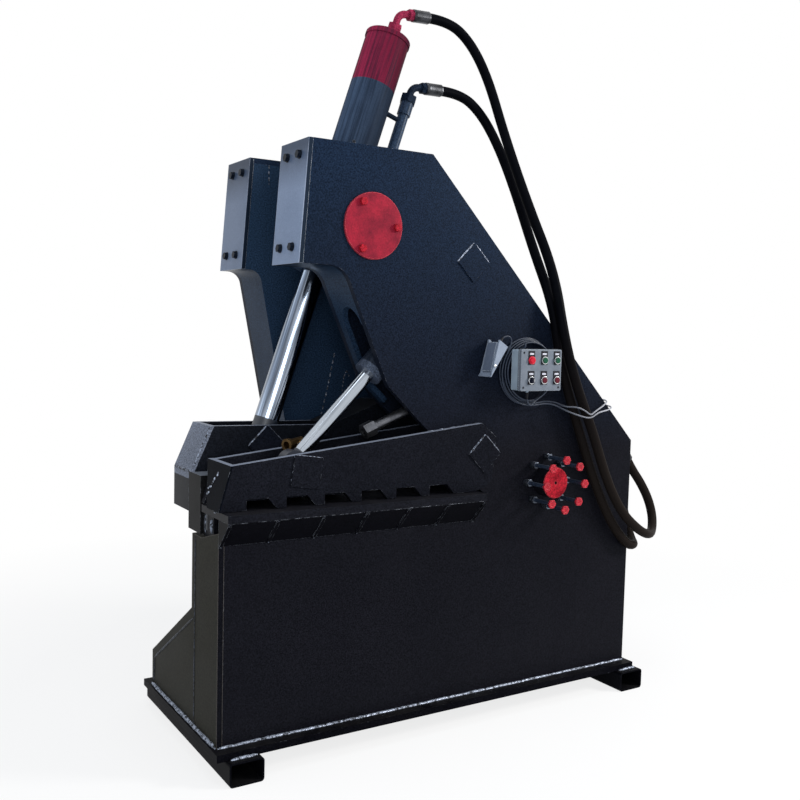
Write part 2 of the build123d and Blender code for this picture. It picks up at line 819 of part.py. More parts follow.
cylinder_reach = math.hypot(trunnion[0] - jaw_pin[0], trunnion[1] - jaw_pin[1])
cylinder_lean = math.atan2(trunnion[0] - jaw_pin[0], trunnion[1] - jaw_pin[1])
cylinder_plane = Plane(
    origin=(trunnion[0], gap_middle_y, trunnion[1]),
    x_dir=(math.cos(cylinder_lean), 0, -math.sin(cylinder_lean)),
    z_dir=(math.sin(cylinder_lean), 0, math.cos(cylinder_lean)),
)
cap_top = barrel_top + cap_height


def upright(radius, z0, z1, bore=0.0, x=0.0):
    """A round bar or tube along the cylinder's own axis."""
    solid = Pos(x, 0, (z0 + z1) / 2) * Cylinder(radius, z1 - z0)
    if bore:
        solid -= Pos(x, 0, (z0 + z1) / 2) * Cylinder(bore, z1 - z0 + 2 * cut_past)
    return solid


def main_barrel():
    cap = upright(cap_radius, barrel_top, cap_top)
    cap = fillet(cap.edges().filter_by(GeomType.CIRCLE).sort_by(Axis.Z)[-1], cap_round)
    solid = upright(barrel_radius, barrel_bottom, barrel_top)
    solid += upright(trunnion_ring_radius, -trunnion_ring_height / 2, trunnion_ring_height / 2)
    solid += Rot(90, 0, 0) * Cylinder(trunnion_radius, 2 * (gap_middle_y - trunnion_end_gap))
    solid -= upright(barrel_bore_radius, barrel_bottom - cut_past, barrel_top)
    solid -= Pos(barrel_radius, 0, side_tube_bottom) * Rot(0, 90, 0) * Cylinder(port_radius, barrel_radius)
    solid += cap
    solid -= upright(port_radius, barrel_top - cut_past, cap_top + cut_past, x=head_port_offset)
    strut_start = barrel_radius - strut_root
    strut_length = side_tube_offset - side_tube_radius + strut_root - strut_start
    strut_middle = Pos(strut_start + strut_length / 2, 0, strut_z)
    solid += strut_middle * Rot(0, 90, 0) * Cylinder(strut_radius, strut_length)
    tube_z = (strut_z - 2 * strut_radius, strut_z + 2 * strut_radius)
    return solid - upright(side_tube_radius, *tube_z, x=side_tube_offset)


def main_gland():
    flange_low = barrel_bottom - gland_flange_height
    solid = upright(barrel_radius, flange_low, barrel_bottom)
    solid += upright(barrel_bore_radius - running_gap, barrel_bottom, gland_plug_top)
    return solid - upright(rod_radius + running_gap, flange_low - cut_past, gland_plug_top + cut_past)


def side_tube():
    route = FilletPolyline(
        (barrel_radius - side_tube_root, 0, side_tube_bottom),
        (side_tube_offset, 0, side_tube_bottom),
        (side_tube_offset, 0, side_tube_top),
        radius=side_tube_bend,
    )
    bore = side_tube_radius - side_tube_wall
    socket_radius = side_tube_radius + socket_wall
    solid = tube_along(route, side_tube_radius, bore)
    solid += upright(socket_radius, side_tube_top - socket_height, side_tube_top, bore, side_tube_offset)
    return solid - upright(barrel_radius, barrel_bottom, barrel_top)


def main_rod():
    eye = Pos(0, 0, -cylinder_reach) * Rot(90, 0, 0)
    solid = upright(barrel_bore_radius - running_gap, piston_top - piston_height, piston_top)
    solid += upright(rod_radius, -cylinder_reach, piston_top)
    solid += eye * Cylinder(eye_radius, eye_width)
    return solid - eye * Cylinder(jaw_pin_radius + jaw_pin_play, eye_width + 2 * cut_past)


def hose_elbow(offset, foot_z, route, nut_flats, nut_height):
    """The nut, bend and ferrule between a port on the cylinder and the start of a hose."""
    end = cylinder_plane.to_local_coords(Vector(*route[0]))
    along = (cylinder_plane.to_local_coords(Vector(*route[1])) - end).normalized()
    corner = end - along * ((end.X - offset) / along.X)
    stations = [(offset, 0, foot_z), (offset, 0, corner.Z), (end.X, 0, end.Z)]
    path = FilletPolyline(*stations, radius=elbow_bend)
    bore = elbow_radius - side_tube_wall
    nut = Pos(offset, 0, foot_z) * extrude(hexagon(nut_flats), nut_height)
    nut -= upright(bore, foot_z - cut_past, foot_z + nut_height + cut_past, x=offset)
    mouth = Plane(origin=end, x_dir=(0, 1, 0), z_dir=along)
    collar = extrude(RegularPolygon(ferrule_radius, 6), ferrule_collar)
    solid = tube_along(path, elbow_radius, bore) + nut
    solid += mouth * Pos(0, 0, -ferrule_length / 2) * Cylinder(ferrule_radius, ferrule_length)
    solid += mouth * Pos(0, 0, -ferrule_length - ferrule_collar) * collar
    return cylinder_plane * solid


save("main_barrel", cylinder_plane * main_barrel())
save("main_gland", cylinder_plane * main_gland())
save("side_tube", cylinder_plane * side_tube())
save("main_rod", cylinder_plane * main_rod())
save("cylinder_hose_elbows", Compound([
    hose_elbow(head_port_offset, cap_top, pressure_route, head_nut_flats, head_nut_height),
    hose_elbow(side_tube_offset, side_tube_top, return_route, return_nut_flats, return_nut_height),
]))


# Moving jaw: blade beam and hub, open box behind it, blade, rod pin

beam_near_y = shear_plane_y + blade_clearance
blade_far_y = beam_near_y + blade_thickness
blade_rise = (blade_lead - blade_heel_lead) / (blade_rear_x - blade_front_x)
jaw_inside_x = jaw_front_x + skin


def blade_edge_z(x):
    """Height of the upper blade's cutting edge with the jaw closed."""
    return table_z - blade_lead + blade_rise * (x - blade_front_x)


def upper_blade_body():
    low = [(x, blade_edge_z(x)) for x in (blade_front_x, blade_rear_x)]
    high = [(x, z + blade_depth) for x, z in reversed(low)]
    return slab_y(low + high, beam_near_y, blade_far_y)


def jaw_beam():
    under = [(x, blade_edge_z(x) + blade_proud) for x in (blade_front_x, beam_rear_x)]
    front = [(jaw_front_x, jaw_beam_top_z), (jaw_front_x, jaw_tongue_z), (blade_front_x, jaw_tongue_z)]
    solid = slab_y(front + under + [(beam_rear_x, jaw_beam_top_z)], beam_near_y, jaw_beam_far_y)
    tail_x = beam_rear_x - beam_tail_lap
    tail = [(tail_x, jaw_beam_top_z), (tail_x, under[1][1]), under[1]]
    tail += [(pivot[0], pivot[1] - jaw_hub_radius), (pivot[0], pivot[1] + jaw_hub_radius)]
    solid += slab_y(tail, blade_far_y, jaw_beam_far_y)
    solid += bar_y(pivot, jaw_hub_radius, jaw_hub_near_y, jaw_hub_far_y)
    solid -= hole_y(pivot, shaft_radius + running_gap, jaw_hub_near_y, jaw_hub_far_y)
    return solid - upper_blade_body()


def jaw_wall(y0, low):
    """One side of the open box from y0 on; low is its lower outline from rear to front."""
    outline = [(jaw_inside_x, jaw_beam_top_z), (jaw_inside_x + jaw_lean, jaw_box_top_z)]
    outline += jaw_ramp + [jaw_hump_rear, (pivot[0] + jaw_hub_lap, pivot[1] + jaw_hub_radius)]
    return slab_y(outline + low, y0, y0 + skin)


def jaw_box():
    slant = [
        (jaw_front_x, jaw_beam_top_z),
        (jaw_inside_x, jaw_beam_top_z),
        (jaw_inside_x + jaw_lean, jaw_box_top_z),
        (jaw_front_x + jaw_lean, jaw_box_top_z),
    ]
    far_low = [
        (pivot[0], pivot[1] - skin),
        (jaw_floor_rear_x, jaw_box_bottom_z),
        (jaw_inside_x, jaw_box_bottom_z),
    ]
    far_wall_y = jaw_box_far_y - skin
    floor_z = (jaw_box_bottom_z, jaw_box_bottom_z + skin)
    solid = slab_y(slant, jaw_box_near_y, jaw_box_far_y)
    solid += jaw_wall(jaw_box_near_y, [(pivot[0], jaw_beam_top_z)])
    solid += jaw_wall(far_wall_y, far_low)
    solid += block(jaw_front_x, jaw_inside_x, jaw_beam_far_y, jaw_box_far_y, jaw_box_bottom_z, jaw_beam_top_z)
    solid += block(jaw_inside_x, jaw_floor_rear_x, jaw_beam_far_y, far_wall_y, *floor_z)
    solid += slab_y(jaw_ramp + offset_line(jaw_ramp, -skin)[::-1], jaw_box_near_y + skin, far_wall_y)
    solid -= bar_y(pivot, jaw_hub_radius, jaw_hub_near_y, jaw_hub_far_y)
    solid -= hole_y(jaw_pin, jaw_pin_radius + hole_gap, jaw_box_near_y, jaw_box_far_y)
    return solid - jaw_beam()


beam = jaw_beam()
upper_blade = upper_blade_body()
upper_bolts = []
for bolt_x in blade_bolt_x:
    bolt_at = (bolt_x, blade_edge_z(bolt_x) + blade_depth * blade_bolt_level)
    upper_blade -= blade_bolt(*bolt_at, -1, beam_near_y, upper_bolt_reach, hole_gap)
    beam -= hole_y(bolt_at, blade_bolt_radius + hole_gap, beam_near_y, beam_near_y + upper_bolt_reach)
    upper_bolts.append(blade_bolt(*bolt_at, -1, beam_near_y, upper_bolt_reach))
save("jaw_beam", beam)
save("jaw_box", jaw_box())
save("upper_blade", upper_blade)
save("upper_blade_bolts", Compound(upper_bolts))
rod_pin = bar_y(jaw_pin, jaw_pin_radius, jaw_box_near_y, jaw_box_far_y)
rod_pin += keeper_y(jaw_pin, 45, jaw_box_near_y - keeper_thickness, jaw_box_near_y)
save("jaw_rod_pin", rod_pin)


# Hold-down arm: saw-toothed side plates, slanted front plate, pins with their keepers

near_plate_far_y = presser_near_y + plate
far_plate_near_y = presser_far_y - plate
keeper_near_y = presser_near_y - keeper_thickness


def presser_plate(y0, y1, front_x):
    outline = [(front_x, tooth_z), (front_x + presser_lean, presser_front_top_z)] + presser_tail
    solid = slab_y(outline, y0, y1)
    for i in range(notch_count):
        x = notch_first_x + notch_pitch * i
        notch = [
            (x, tooth_z - cut_past),
            (x, tooth_z + notch_height),
            (x + notch_top_width, tooth_z + notch_height),
            (x + notch_top_width + notch_run, tooth_z - cut_past),
        ]
        solid -= slab_y(notch, y0 - cut_past, y1 + cut_past)
    return solid


def presser_front():
    """The slanted front plate, cut away towards the shear plane."""
    inside_x = presser_front_x + skin
    outline = [
        (presser_front_x, tooth_z),
        (inside_x, tooth_z),
        (inside_x + presser_lean, presser_front_top_z),
        (presser_front_x + presser_lean, presser_front_top_z),
    ]
    cut = [
        (presser_front_low_y, tooth_z),
        (presser_front_far_y, tooth_z),
        (presser_front_far_y, presser_front_top_z),
    ]
    solid = slab_y(outline, near_plate_far_y, presser_front_far_y)
    return solid - slab_x(cut, presser_front_x - cut_past, inside_x + presser_lean)


def presser_arm():
    floor_z = (presser_floor_z, presser_floor_z + skin)
    solid = presser_plate(presser_near_y, near_plate_far_y, presser_front_x)
    solid += presser_plate(far_plate_near_y, presser_far_y, presser_front_x + skin)
    solid += presser_front()
    solid += block(*presser_floor_x, near_plate_far_y, far_plate_near_y, *floor_z)
    solid -= hole_y(presser_pivot, presser_pivot_radius + hole_gap, presser_near_y, presser_far_y)
    return solid - hole_y(presser_pin, presser_pin_radius + hole_gap, presser_near_y, presser_far_y)


def pipe_union():
    """A round union with a collar at its mouth, welded to the top of the arm's far plate."""
    seat = Plane(origin=union_mouth, z_dir=union_way)
    solid = seat * Pos(0, 0, union_length / 2) * Cylinder(union_radius, union_length)
    solid += seat * Pos(0, 0, union_collar / 2) * Cylinder(union_collar_radius, union_collar)
    solid -= seat * Pos(0, 0, union_bore_depth / 2) * Cylinder(union_bore_radius, union_bore_depth)
    return solid - presser_plate(far_plate_near_y, presser_far_y, presser_front_x + skin)


save("presser_arm", presser_arm())
pin = bar_y(presser_pivot, presser_pivot_radius, presser_near_y, presser_far_y)
save("presser_pivot_pin", pin + keeper_y(presser_pivot, 45, keeper_near_y, presser_near_y))
pin = bar_y(presser_pin, presser_pin_radius, presser_near_y, presser_far_y)
rod_keeper = keeper_y(rod_keeper_middle, rod_keeper_turn, keeper_near_y, presser_near_y, rod_keeper_side)
save("presser_rod_pin", pin + rod_keeper)
save("presser_pipe_union", pipe_union())


# Presser cylinder, drawn upright from its base pin and then turned to face the hold-down arm's pin

presser_run = (presser_base_pin[0] - presser_pin[0], presser_base_pin[1] - presser_pin[1])
presser_reach = math.hypot(*presser_run)
presser_plane = Plane(
    origin=(presser_base_pin[0], presser_cylinder_y, presser_base_pin[1]),
    x_dir=(0, 1, 0),
    z_dir=(presser_run[0], 0, presser_run[1]),
)
presser_gland_top = -presser_barrel_end + presser_gland_height
cross = Rot(0, 90, 0)


def presser_barrel():
    base = -presser_barrel_start
    solid = upright(presser_barrel_radius, -presser_barrel_end, base)
    solid += upright(presser_neck_radius, base, 0)
    solid += cross * Cylinder(presser_eye_radius, presser_eye_width)
    solid -= upright(presser_bore_radius, presser_gland_top, base - skin)
    rod_hole = (-presser_barrel_end - cut_past, presser_gland_top + cut_past)
    solid -= upright(presser_rod_radius + running_gap, *rod_hole)
    return solid - cross * Cylinder(presser_pin_radius + running_gap, 2 * presser_barrel_radius)


def presser_rod():
    piston_low = presser_gland_top + presser_piston_gap
    eye = Pos(0, 0, -presser_reach) * cross
    solid = upright(presser_bore_radius - running_gap, piston_low, piston_low + presser_piston_height)
    solid += upright(presser_rod_radius, -presser_reach, piston_low)
    solid += eye * Cylinder(presser_eye_radius, presser_eye_width)
    return solid - eye * Cylinder(presser_pin_radius + presser_pin_play, presser_eye_width + 2 * cut_past)


save("presser_barrel", presser_plane * presser_barrel())
save("presser_rod", presser_plane * presser_rod())
pin = bar_y(presser_base_pin, presser_pin_radius, 0, arm_width)
save("presser_cylinder_pin", pin + keeper_y(presser_base_pin, 45, -keeper_thickness, 0))


# Pipe stub in the throat, held to the inside of the near plate

def throat_pipe_stub():
    run = Vector(*pipe_high) - Vector(*pipe_low)
    plane = Plane(origin=pipe_low, x_dir=(0, 1, 0), z_dir=run)
    bore_length = pipe_bore_depth + cut_past
    bore = Pos(0, 0, bore_length / 2 - cut_past) * Cylinder(pipe_radius - pipe_wall, bore_length)
    solid = plane * Pos(0, 0, run.length / 2) * Cylinder(pipe_radius, run.length)
    solid += plane * extrude(hexagon(pipe_nut_flats), pipe_nut_height)
    solid += block(*pipe_bracket_x, plate, pipe_low[1], *pipe_bracket_z)
    return solid - plane * bore


save("throat_pipe_stub", throat_pipe_stub())


# Control box with its lid, legend plates, bezels and push buttons

button_x = [button_first_x + button_pitch_x * i for i in range(3)]
button_places = [(x, z) for z in button_row_z for x in button_x]
box_x = (box_corner[0], box_corner[0] + box_size[0])
box_z = (box_corner[1], box_corner[1] + box_size[1])
bezel_front_y = lid_front_y - bezel_height
button_face_y = bezel_front_y - button_proud
button_back_y = box_front_y - button_tail


def control_box():
    solid = block(*box_x, box_front_y, box_back_y, *box_z)
    solid = fillet(solid.edges().filter_by(Axis.Y), box_round)
    inside_x = (box_x[0] + box_wall, box_x[1] - box_wall)
    inside_z = (box_z[0] + box_wall, box_z[1] - box_wall)
    solid -= block(*inside_x, box_front_y - cut_past, box_back_y - box_wall, *inside_z)
    bracket = Pos(coil_middle[0], box_back_y / 2, coil_middle[1])
    solid += bracket * Box(box_bracket[0], -box_back_y, box_bracket[1])
    gland_x, gland_y, gland_z = lead_route[0]
    gland = Cylinder(cable_radius + box_gland_wall, box_z[0] - gland_z)
    return solid + Pos(gland_x, gland_y, (gland_z + box_z[0]) / 2) * gland


def control_box_lid():
    lid_x = (box_x[0] - lid_lap, box_x[1] + lid_lap)
    lid_z = (box_z[0] - lid_lap, box_z[1] + lid_lap)
    solid = block(*lid_x, lid_front_y, box_front_y, *lid_z)
    solid = fillet(solid.edges().filter_by(Axis.Y), lid_round)
    solid = fillet(solid.faces().sort_by(Axis.Y)[0].edges(), lid_edge_round)
    for place in button_places:
        solid -= hole_y(place, button_radius + button_gap, lid_front_y, box_front_y)
    return solid


def legend_plate(place):
    front_y = lid_front_y - legend_thickness
    middle = Pos(place[0], (front_y + lid_front_y) / 2, place[1] + legend_rise)
    solid = middle * Box(legend_width, legend_thickness, legend_height)
    return solid - hole_y(place, bezel_radius + hole_gap, front_y, lid_front_y)


def bezel(place):
    solid = bar_y(place, bezel_radius, bezel_front_y, lid_front_y)
    return solid - hole_y(place, button_radius + button_gap, bezel_front_y, lid_front_y)


def push_button(place):
    solid = bar_y(place, button_radius, button_face_y, button_back_y)
    return fillet(solid.edges().filter_by(GeomType.CIRCLE).sort_by(Axis.Y)[0], button_round)


def selector(place):
    face_y = bezel_front_y - selector_face
    grip = Pos(place[0], face_y - selector_grip_height / 2, place[1])
    solid = bar_y(place, button_radius, face_y, button_back_y)
    return solid + grip * Box(selector_grip_width, selector_grip_height, selector_grip_length)


save("control_box", control_box())
save("control_box_lid", control_box_lid())
save("legend_plates", Compound([legend_plate(place) for place in button_places]))
save("button_bezels", Compound([bezel(place) for place in button_places]))
lower_row, upper_row = button_places[:3], button_places[3:]
save("selector_knob", selector(lower_row[0]))
save("dark_button_left", push_button(lower_row[1]))
save("dark_button_right", push_button(lower_row[2]))
save("red_button", push_button(upper_row[0]))
save("green_button_left", push_button(upper_row[1]))
save("green_button_right", push_button(upper_row[2]))


# Foot switch hung with its edge to the near plate; its profile is given along the sole and away from it

def pedal_point(along, off):
    lean = math.radians(pedal_lean)
    return (
        pedal_toe[0] + along * math.sin(lean) - off * math.cos(lean),
        pedal_toe[1] + along * math.cos(lean) + off * math.sin(lean),
    )


def pedal_slab(profile, y0, y1):
    return slab_y([pedal_point(along, off) for along, off in profile], y0, y1)


def pedal_bar(along0, along1, off0, off1, y0, y1):
    """A straight bar of the switch, between two places along its sole and two heights off it."""
    return pedal_slab([(along0, off0), (along1, off0), (along1, off1), (along0, off1)], y0, y1)


def pedal_base():
    low_rise, high_rise = pedal_guard_rise
    guard = [
        (pedal_guard_start, pedal_sole),
        (pedal_length, pedal_sole),
        (pedal_length, high_rise),
        (pedal_guard_start, low_rise),
    ]
    far_y = pedal_far_guard_y + pedal_guard
    solid = pedal_bar(0, pedal_length, 0, pedal_sole, pedal_near_y, 0)
    for guard_y in (pedal_near_y, pedal_far_guard_y):
        solid += pedal_slab(guard, guard_y, guard_y + pedal_guard)
    heel = (pedal_length - pedal_heel, pedal_length)
    solid += pedal_bar(*heel, pedal_sole, pedal_heel_rise, pedal_near_y, far_y)
    solid += pedal_bar(*pedal_stop, pedal_sole, pedal_stop_rise, *pedal_stop_y)
    solid += bar_y(pedal_hinge, pedal_pin_radius, pedal_near_y, far_y)
    head_y = pedal_near_y - pedal_pin_radius
    solid += bar_y(pedal_hinge, pedal_pin_radius + pedal_pin_head, head_y, pedal_near_y)
    boss = [pedal_point(pedal_length, pedal_boss_off), pedal_point(pedal_length + pedal_boss, pedal_boss_off)]
    low, high = (Vector(x, pedal_cable_route[0][1], z) for x, z in boss)
    seat = Plane(origin=low, x_dir=(0, 1, 0), z_dir=high - low)
    return solid + seat * Pos(0, 0, pedal_boss / 2) * Cylinder(pedal_boss_radius, pedal_boss)


def foot_treadle():
    solid = pedal_slab(pedal_tread, pedal_near_y + pedal_guard + 1, pedal_far_guard_y - 1)
    return solid - bar_y(pedal_hinge, pedal_pin_radius + running_gap, pedal_near_y, 0)


pedal_hinge = pedal_point(*pedal_hinge_at)
save("pedal_base", pedal_base())
save("foot_treadle", foot_treadle())


# Coil of control cable on its hook, as one tube of quarter-turn biarcs

coil_start = math.radians(coil_first_angle)
coil_end = math.radians(coil_last_angle) + 2 * math.pi * coil_turns
quarter_count = 4 * coil_turns
tail_length = 2 * cable_radius
sample_count = 600


def coil_place(angle):
    turns = (angle - coil_start) / (2 * math.pi)
    radius = coil_first_radius + coil_growth * turns
    x = coil_middle[0] + radius * math.cos(angle)
    z = coil_middle[1] + radius * math.sin(angle)
    return Vector(x, coil_first_y + coil_pitch * turns, z)


def coil_tangent(angle):
    step = 0.001
    return (coil_place(angle + step) - coil_place(angle - step)).normalized()


def biarc(p0, t0, p1, t1):
    """Two arcs tangent to each other that leave p0 along t0 and reach p1 along t1."""
    chord = p1 - p0
    both = t0 + t1
    a = 2 * (1 - t0.dot(t1))
    b = 2 * chord.dot(both)
    reach = (math.sqrt(b * b + 4 * a * chord.dot(chord)) - b) / (2 * a)
    first = p0 + t0 * reach
    second = p1 - t1 * reach
    joint = (first + second) / 2
    return [TangentArc(p0, joint, tangent=t0), TangentArc(joint, p1, tangent=second - first)]


coil_angles = [coil_start + (coil_end - coil_start) * i / quarter_count for i in range(quarter_count + 1)]
coil_first = coil_place(coil_start) - coil_tangent(coil_start) * tail_length
coil_last = coil_place(coil_end) + coil_tangent(coil_end) * tail_length
edges = [Line(coil_first, coil_place(coil_start))]
for before, after in zip(coil_angles, coil_angles[1:]):
    edges += biarc(coil_place(before), coil_tangent(before), coil_place(after), coil_tangent(after))
edges.append(Line(coil_place(coil_end), coil_last))
coil_path = Wire(edges)
coil = tube_along(coil_path, cable_radius)
samples = [coil_path @ (i / sample_count) for i in range(sample_count + 1)]
half_turn = 2 * sample_count // quarter_count
gaps = []
for i, sample in enumerate(samples):
    gaps += [(other - sample).length for other in samples[i + half_turn:]]
coil_ideal = math.pi * cable_radius ** 2 * coil_path.length
print("coil length", round(coil_path.length), "least gap", round(min(gaps) - 2 * cable_radius, 2),
      "volume ratio", round(coil.volume / coil_ideal, 4))
save("cable_coil", coil)

hook_reach = coil_first_radius - cable_radius - hook_radius - hook_gap
hook_x = coil_middle[0] + hook_reach * math.cos(math.radians(hook_angle))
hook_z = coil_middle[1] + hook_reach * math.sin(math.radians(hook_angle))
hook_path = FilletPolyline(
    (hook_x, 0, hook_z),
    (hook_x, hook_end_y, hook_z),
    (hook_x, hook_end_y, hook_z + hook_rise),
    radius=hook_bend,
)
save("coil_hook", tube_along(hook_path, hook_radius))


# Cables and hoses along their routes, and the elbows that take the hoses at the back

save("box_lead", route_tube("box lead", lead_route + [tuple(coil_first)], cable_radius))
save("control_cable", route_tube("control cable", [tuple(coil_last)] + control_cable_route, cable_radius))
save("pedal_cable", route_tube("pedal cable", pedal_cable_route, cable_radius))
save("pressure_hose", route_tube("pressure hose", pressure_route, hose_radius))
save("return_hose", route_tube("return hose", return_route, hose_radius))


def rear_elbow(route):
    """The ferrule, bend and nut that carry a hose's lower end into the back of the frame."""
    end = Vector(*route[-1])
    along = (end - Vector(*route[-2])).normalized()
    corner = end + along * ((rear_port_z - end.Z) / along.Z)
    port = (base_length, corner.Y, corner.Z)
    path = FilletPolyline(tuple(end), tuple(corner), port, radius=rear_elbow_bend)
    ferrule = Pos(0, 0, rear_ferrule_length / 2) * Cylinder(rear_ferrule_radius, rear_ferrule_length)
    nut = extrude(hexagon(rear_nut_flats), rear_nut_height)
    solid = tube_along(path, elbow_radius) + Plane(origin=end, z_dir=along) * ferrule
    return solid + Plane(origin=port, x_dir=(0, 1, 0), z_dir=(1, 0, 0)) * nut


save("rear_hose_elbows", Compound([rear_elbow(pressure_route), rear_elbow(return_route)]))
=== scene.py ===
"""Looks of a hydraulic alligator shear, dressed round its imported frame.

Lengths are metres unless a name says mm.
"""

from __future__ import annotations

import json
import logging
import math
import random
from collections.abc import Sequence
from dataclasses import dataclass
from enum import Enum
from functools import cached_property

import bmesh
import bpy
from mathutils import Matrix, Vector

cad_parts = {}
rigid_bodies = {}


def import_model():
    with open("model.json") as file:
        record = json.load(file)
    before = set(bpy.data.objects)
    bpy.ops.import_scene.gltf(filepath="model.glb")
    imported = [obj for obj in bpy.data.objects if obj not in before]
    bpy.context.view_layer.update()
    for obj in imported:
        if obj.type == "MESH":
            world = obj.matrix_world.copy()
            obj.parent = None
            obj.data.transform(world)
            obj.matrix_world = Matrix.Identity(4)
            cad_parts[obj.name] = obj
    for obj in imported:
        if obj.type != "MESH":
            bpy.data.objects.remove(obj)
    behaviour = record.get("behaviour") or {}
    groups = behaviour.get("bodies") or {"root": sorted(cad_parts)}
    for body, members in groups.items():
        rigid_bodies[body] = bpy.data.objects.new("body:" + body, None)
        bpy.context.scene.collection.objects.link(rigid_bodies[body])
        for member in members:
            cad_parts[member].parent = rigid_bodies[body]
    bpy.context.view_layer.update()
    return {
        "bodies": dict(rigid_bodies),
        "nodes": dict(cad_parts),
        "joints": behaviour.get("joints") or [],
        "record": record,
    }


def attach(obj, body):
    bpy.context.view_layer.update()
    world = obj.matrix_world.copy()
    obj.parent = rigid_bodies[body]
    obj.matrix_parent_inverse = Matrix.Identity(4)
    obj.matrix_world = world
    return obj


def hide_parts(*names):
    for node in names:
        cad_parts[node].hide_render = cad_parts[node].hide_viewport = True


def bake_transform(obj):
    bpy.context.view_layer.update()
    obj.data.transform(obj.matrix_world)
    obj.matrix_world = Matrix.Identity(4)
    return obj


log = logging.getLogger("alligator_shear")

Colour = tuple[float, float, float, float]
Triple = tuple[float, float, float]
Value = object

# Shop places are millimetres: X behind the front face of the base, Y from the outer face of the near plate
# towards the far side, Z above the floor.
SHOP_ORIGIN_MM = Vector((959.8, 327.5, 0.0))
MILLIMETRE = 0.001

FRONT = (-1.0, 0.0, 0.0)
REAR = (1.0, 0.0, 0.0)
NEAR = (0.0, -1.0, 0.0)
FAR = (0.0, 1.0, 0.0)
DOWN = (0.0, 0.0, -1.0)
UP = (0.0, 0.0, 1.0)

FLOAT_SOCKET = "NodeSocketFloat"
VECTOR_SOCKET = "NodeSocketVector"
MIX_FACTOR, MIX_FIRST, MIX_SECOND = 0, 6, 7
MIX_RESULT = 2

# Painted reflection of dark surroundings in a polished bar, as broad lengthwise stripes: streaks to the
# metre, noise where a band starts and is full, share of its strength.
REFLECTION_BANDS = ((38.0, 0.46, 0.60, 1.0), (120.0, 0.52, 0.62, 0.6))
# Streaks to the metre on a painted tube, broad and narrow: a painted reflection of dark surroundings.
TUBE_REFLECTION_STREAKS = (44.0, 150.0)
# Strength of the clouds' colour, for each of the colour that they lie in.
UPPER_CLOUD_SHARE = 0.78
OTHER_CLOUD_SHARE = 0.72

SHARP_ANGLE = math.radians(38)
LEAST_RADIUS = 0.0001
CORNER_STEPS = 4
SLAB_BEVEL = 0.3
RIPPLE_STEPS = 3
BEAD_ANGLES = tuple(math.radians(angle) for angle in range(-112, 113, 28))
BOOT_PROFILE = (
    (-0.004, 0.0064), (0.002, 0.0066), (0.005, 0.0058), (0.011, 0.0052), (0.018, 0.0044), (0.023, 0.0036),
)


def place(x: float, y: float, z: float) -> Vector:
    """Gives the point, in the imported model's frame, of a shop place."""
    return (Vector((x, y, z)) - SHOP_ORIGIN_MM) * MILLIMETRE


def spot(x: float, y: float, z: float) -> Triple:
    """Gives the point of a shop place as plain numbers."""
    return tuple(place(x, y, z))


def tone(red: int, green: int, blue: int) -> Colour:
    """Gives a paint-chart colour as a linear one.

    Args:
        red: Red from 0 to 255.
        green: Green from 0 to 255.
        blue: Blue from 0 to 255.

    Returns:
        The linear colour with full alpha.
    """
    linear = []
    for part in (red, green, blue):
        share = part / 255
        linear.append(share / 12.92 if share <= 0.04045 else ((share + 0.055) / 1.055) ** 2.4)
    return (linear[0], linear[1], linear[2], 1.0)


def darker(colour: Colour, share: float) -> Colour:
    """Gives a colour at a share of its strength."""
    return (colour[0] * share, colour[1] * share, colour[2] * share, 1.0)


# Blue-black laid on one side of a piece: painted shade.
SIDE_SHADE_DARK = tone(8, 10, 16)
# Dark of the lengthwise streaks on painted tubes: a painted reflection.
REFLECTED_DARK = tone(22, 28, 40)
LIGHT_SPECK = tone(70, 70, 72)
ROAD_DUST = tone(104, 102, 98)
PALE_DUST = tone(150, 140, 124)
FULL_BLACK = (0.0, 0.0, 0.0, 1.0)
WHITE = (1.0, 1.0, 1.0, 1.0)


class Body(str, Enum):
    """The moving and fixed bodies that pieces ride on."""

    FRAME = "frame"
    MAIN_CYLINDER = "main_cylinder"
    JAW = "jaw"
    HOLD_DOWN = "hold_down"


class Slot(str, Enum):
    """The record's material slots."""

    BLACK_PAINT = "black_paint"
    PLAIN_STEEL = "plain_steel"
    HOSE_RUBBER = "hose_rubber"
    CABLE_RUBBER = "cable_rubber"
    GREY_ENCLOSURE = "grey_enclosure"
    LEGEND_BLACK = "legend_black"


class Stiffness(str, Enum):
    """How readily a cord bends."""

    MEDIUM = "medium"
    STIFF = "stiff"


class Lay(str, Enum):
    """How a cord lies."""

    HANGING = "hanging"
    COILED = "coiled"


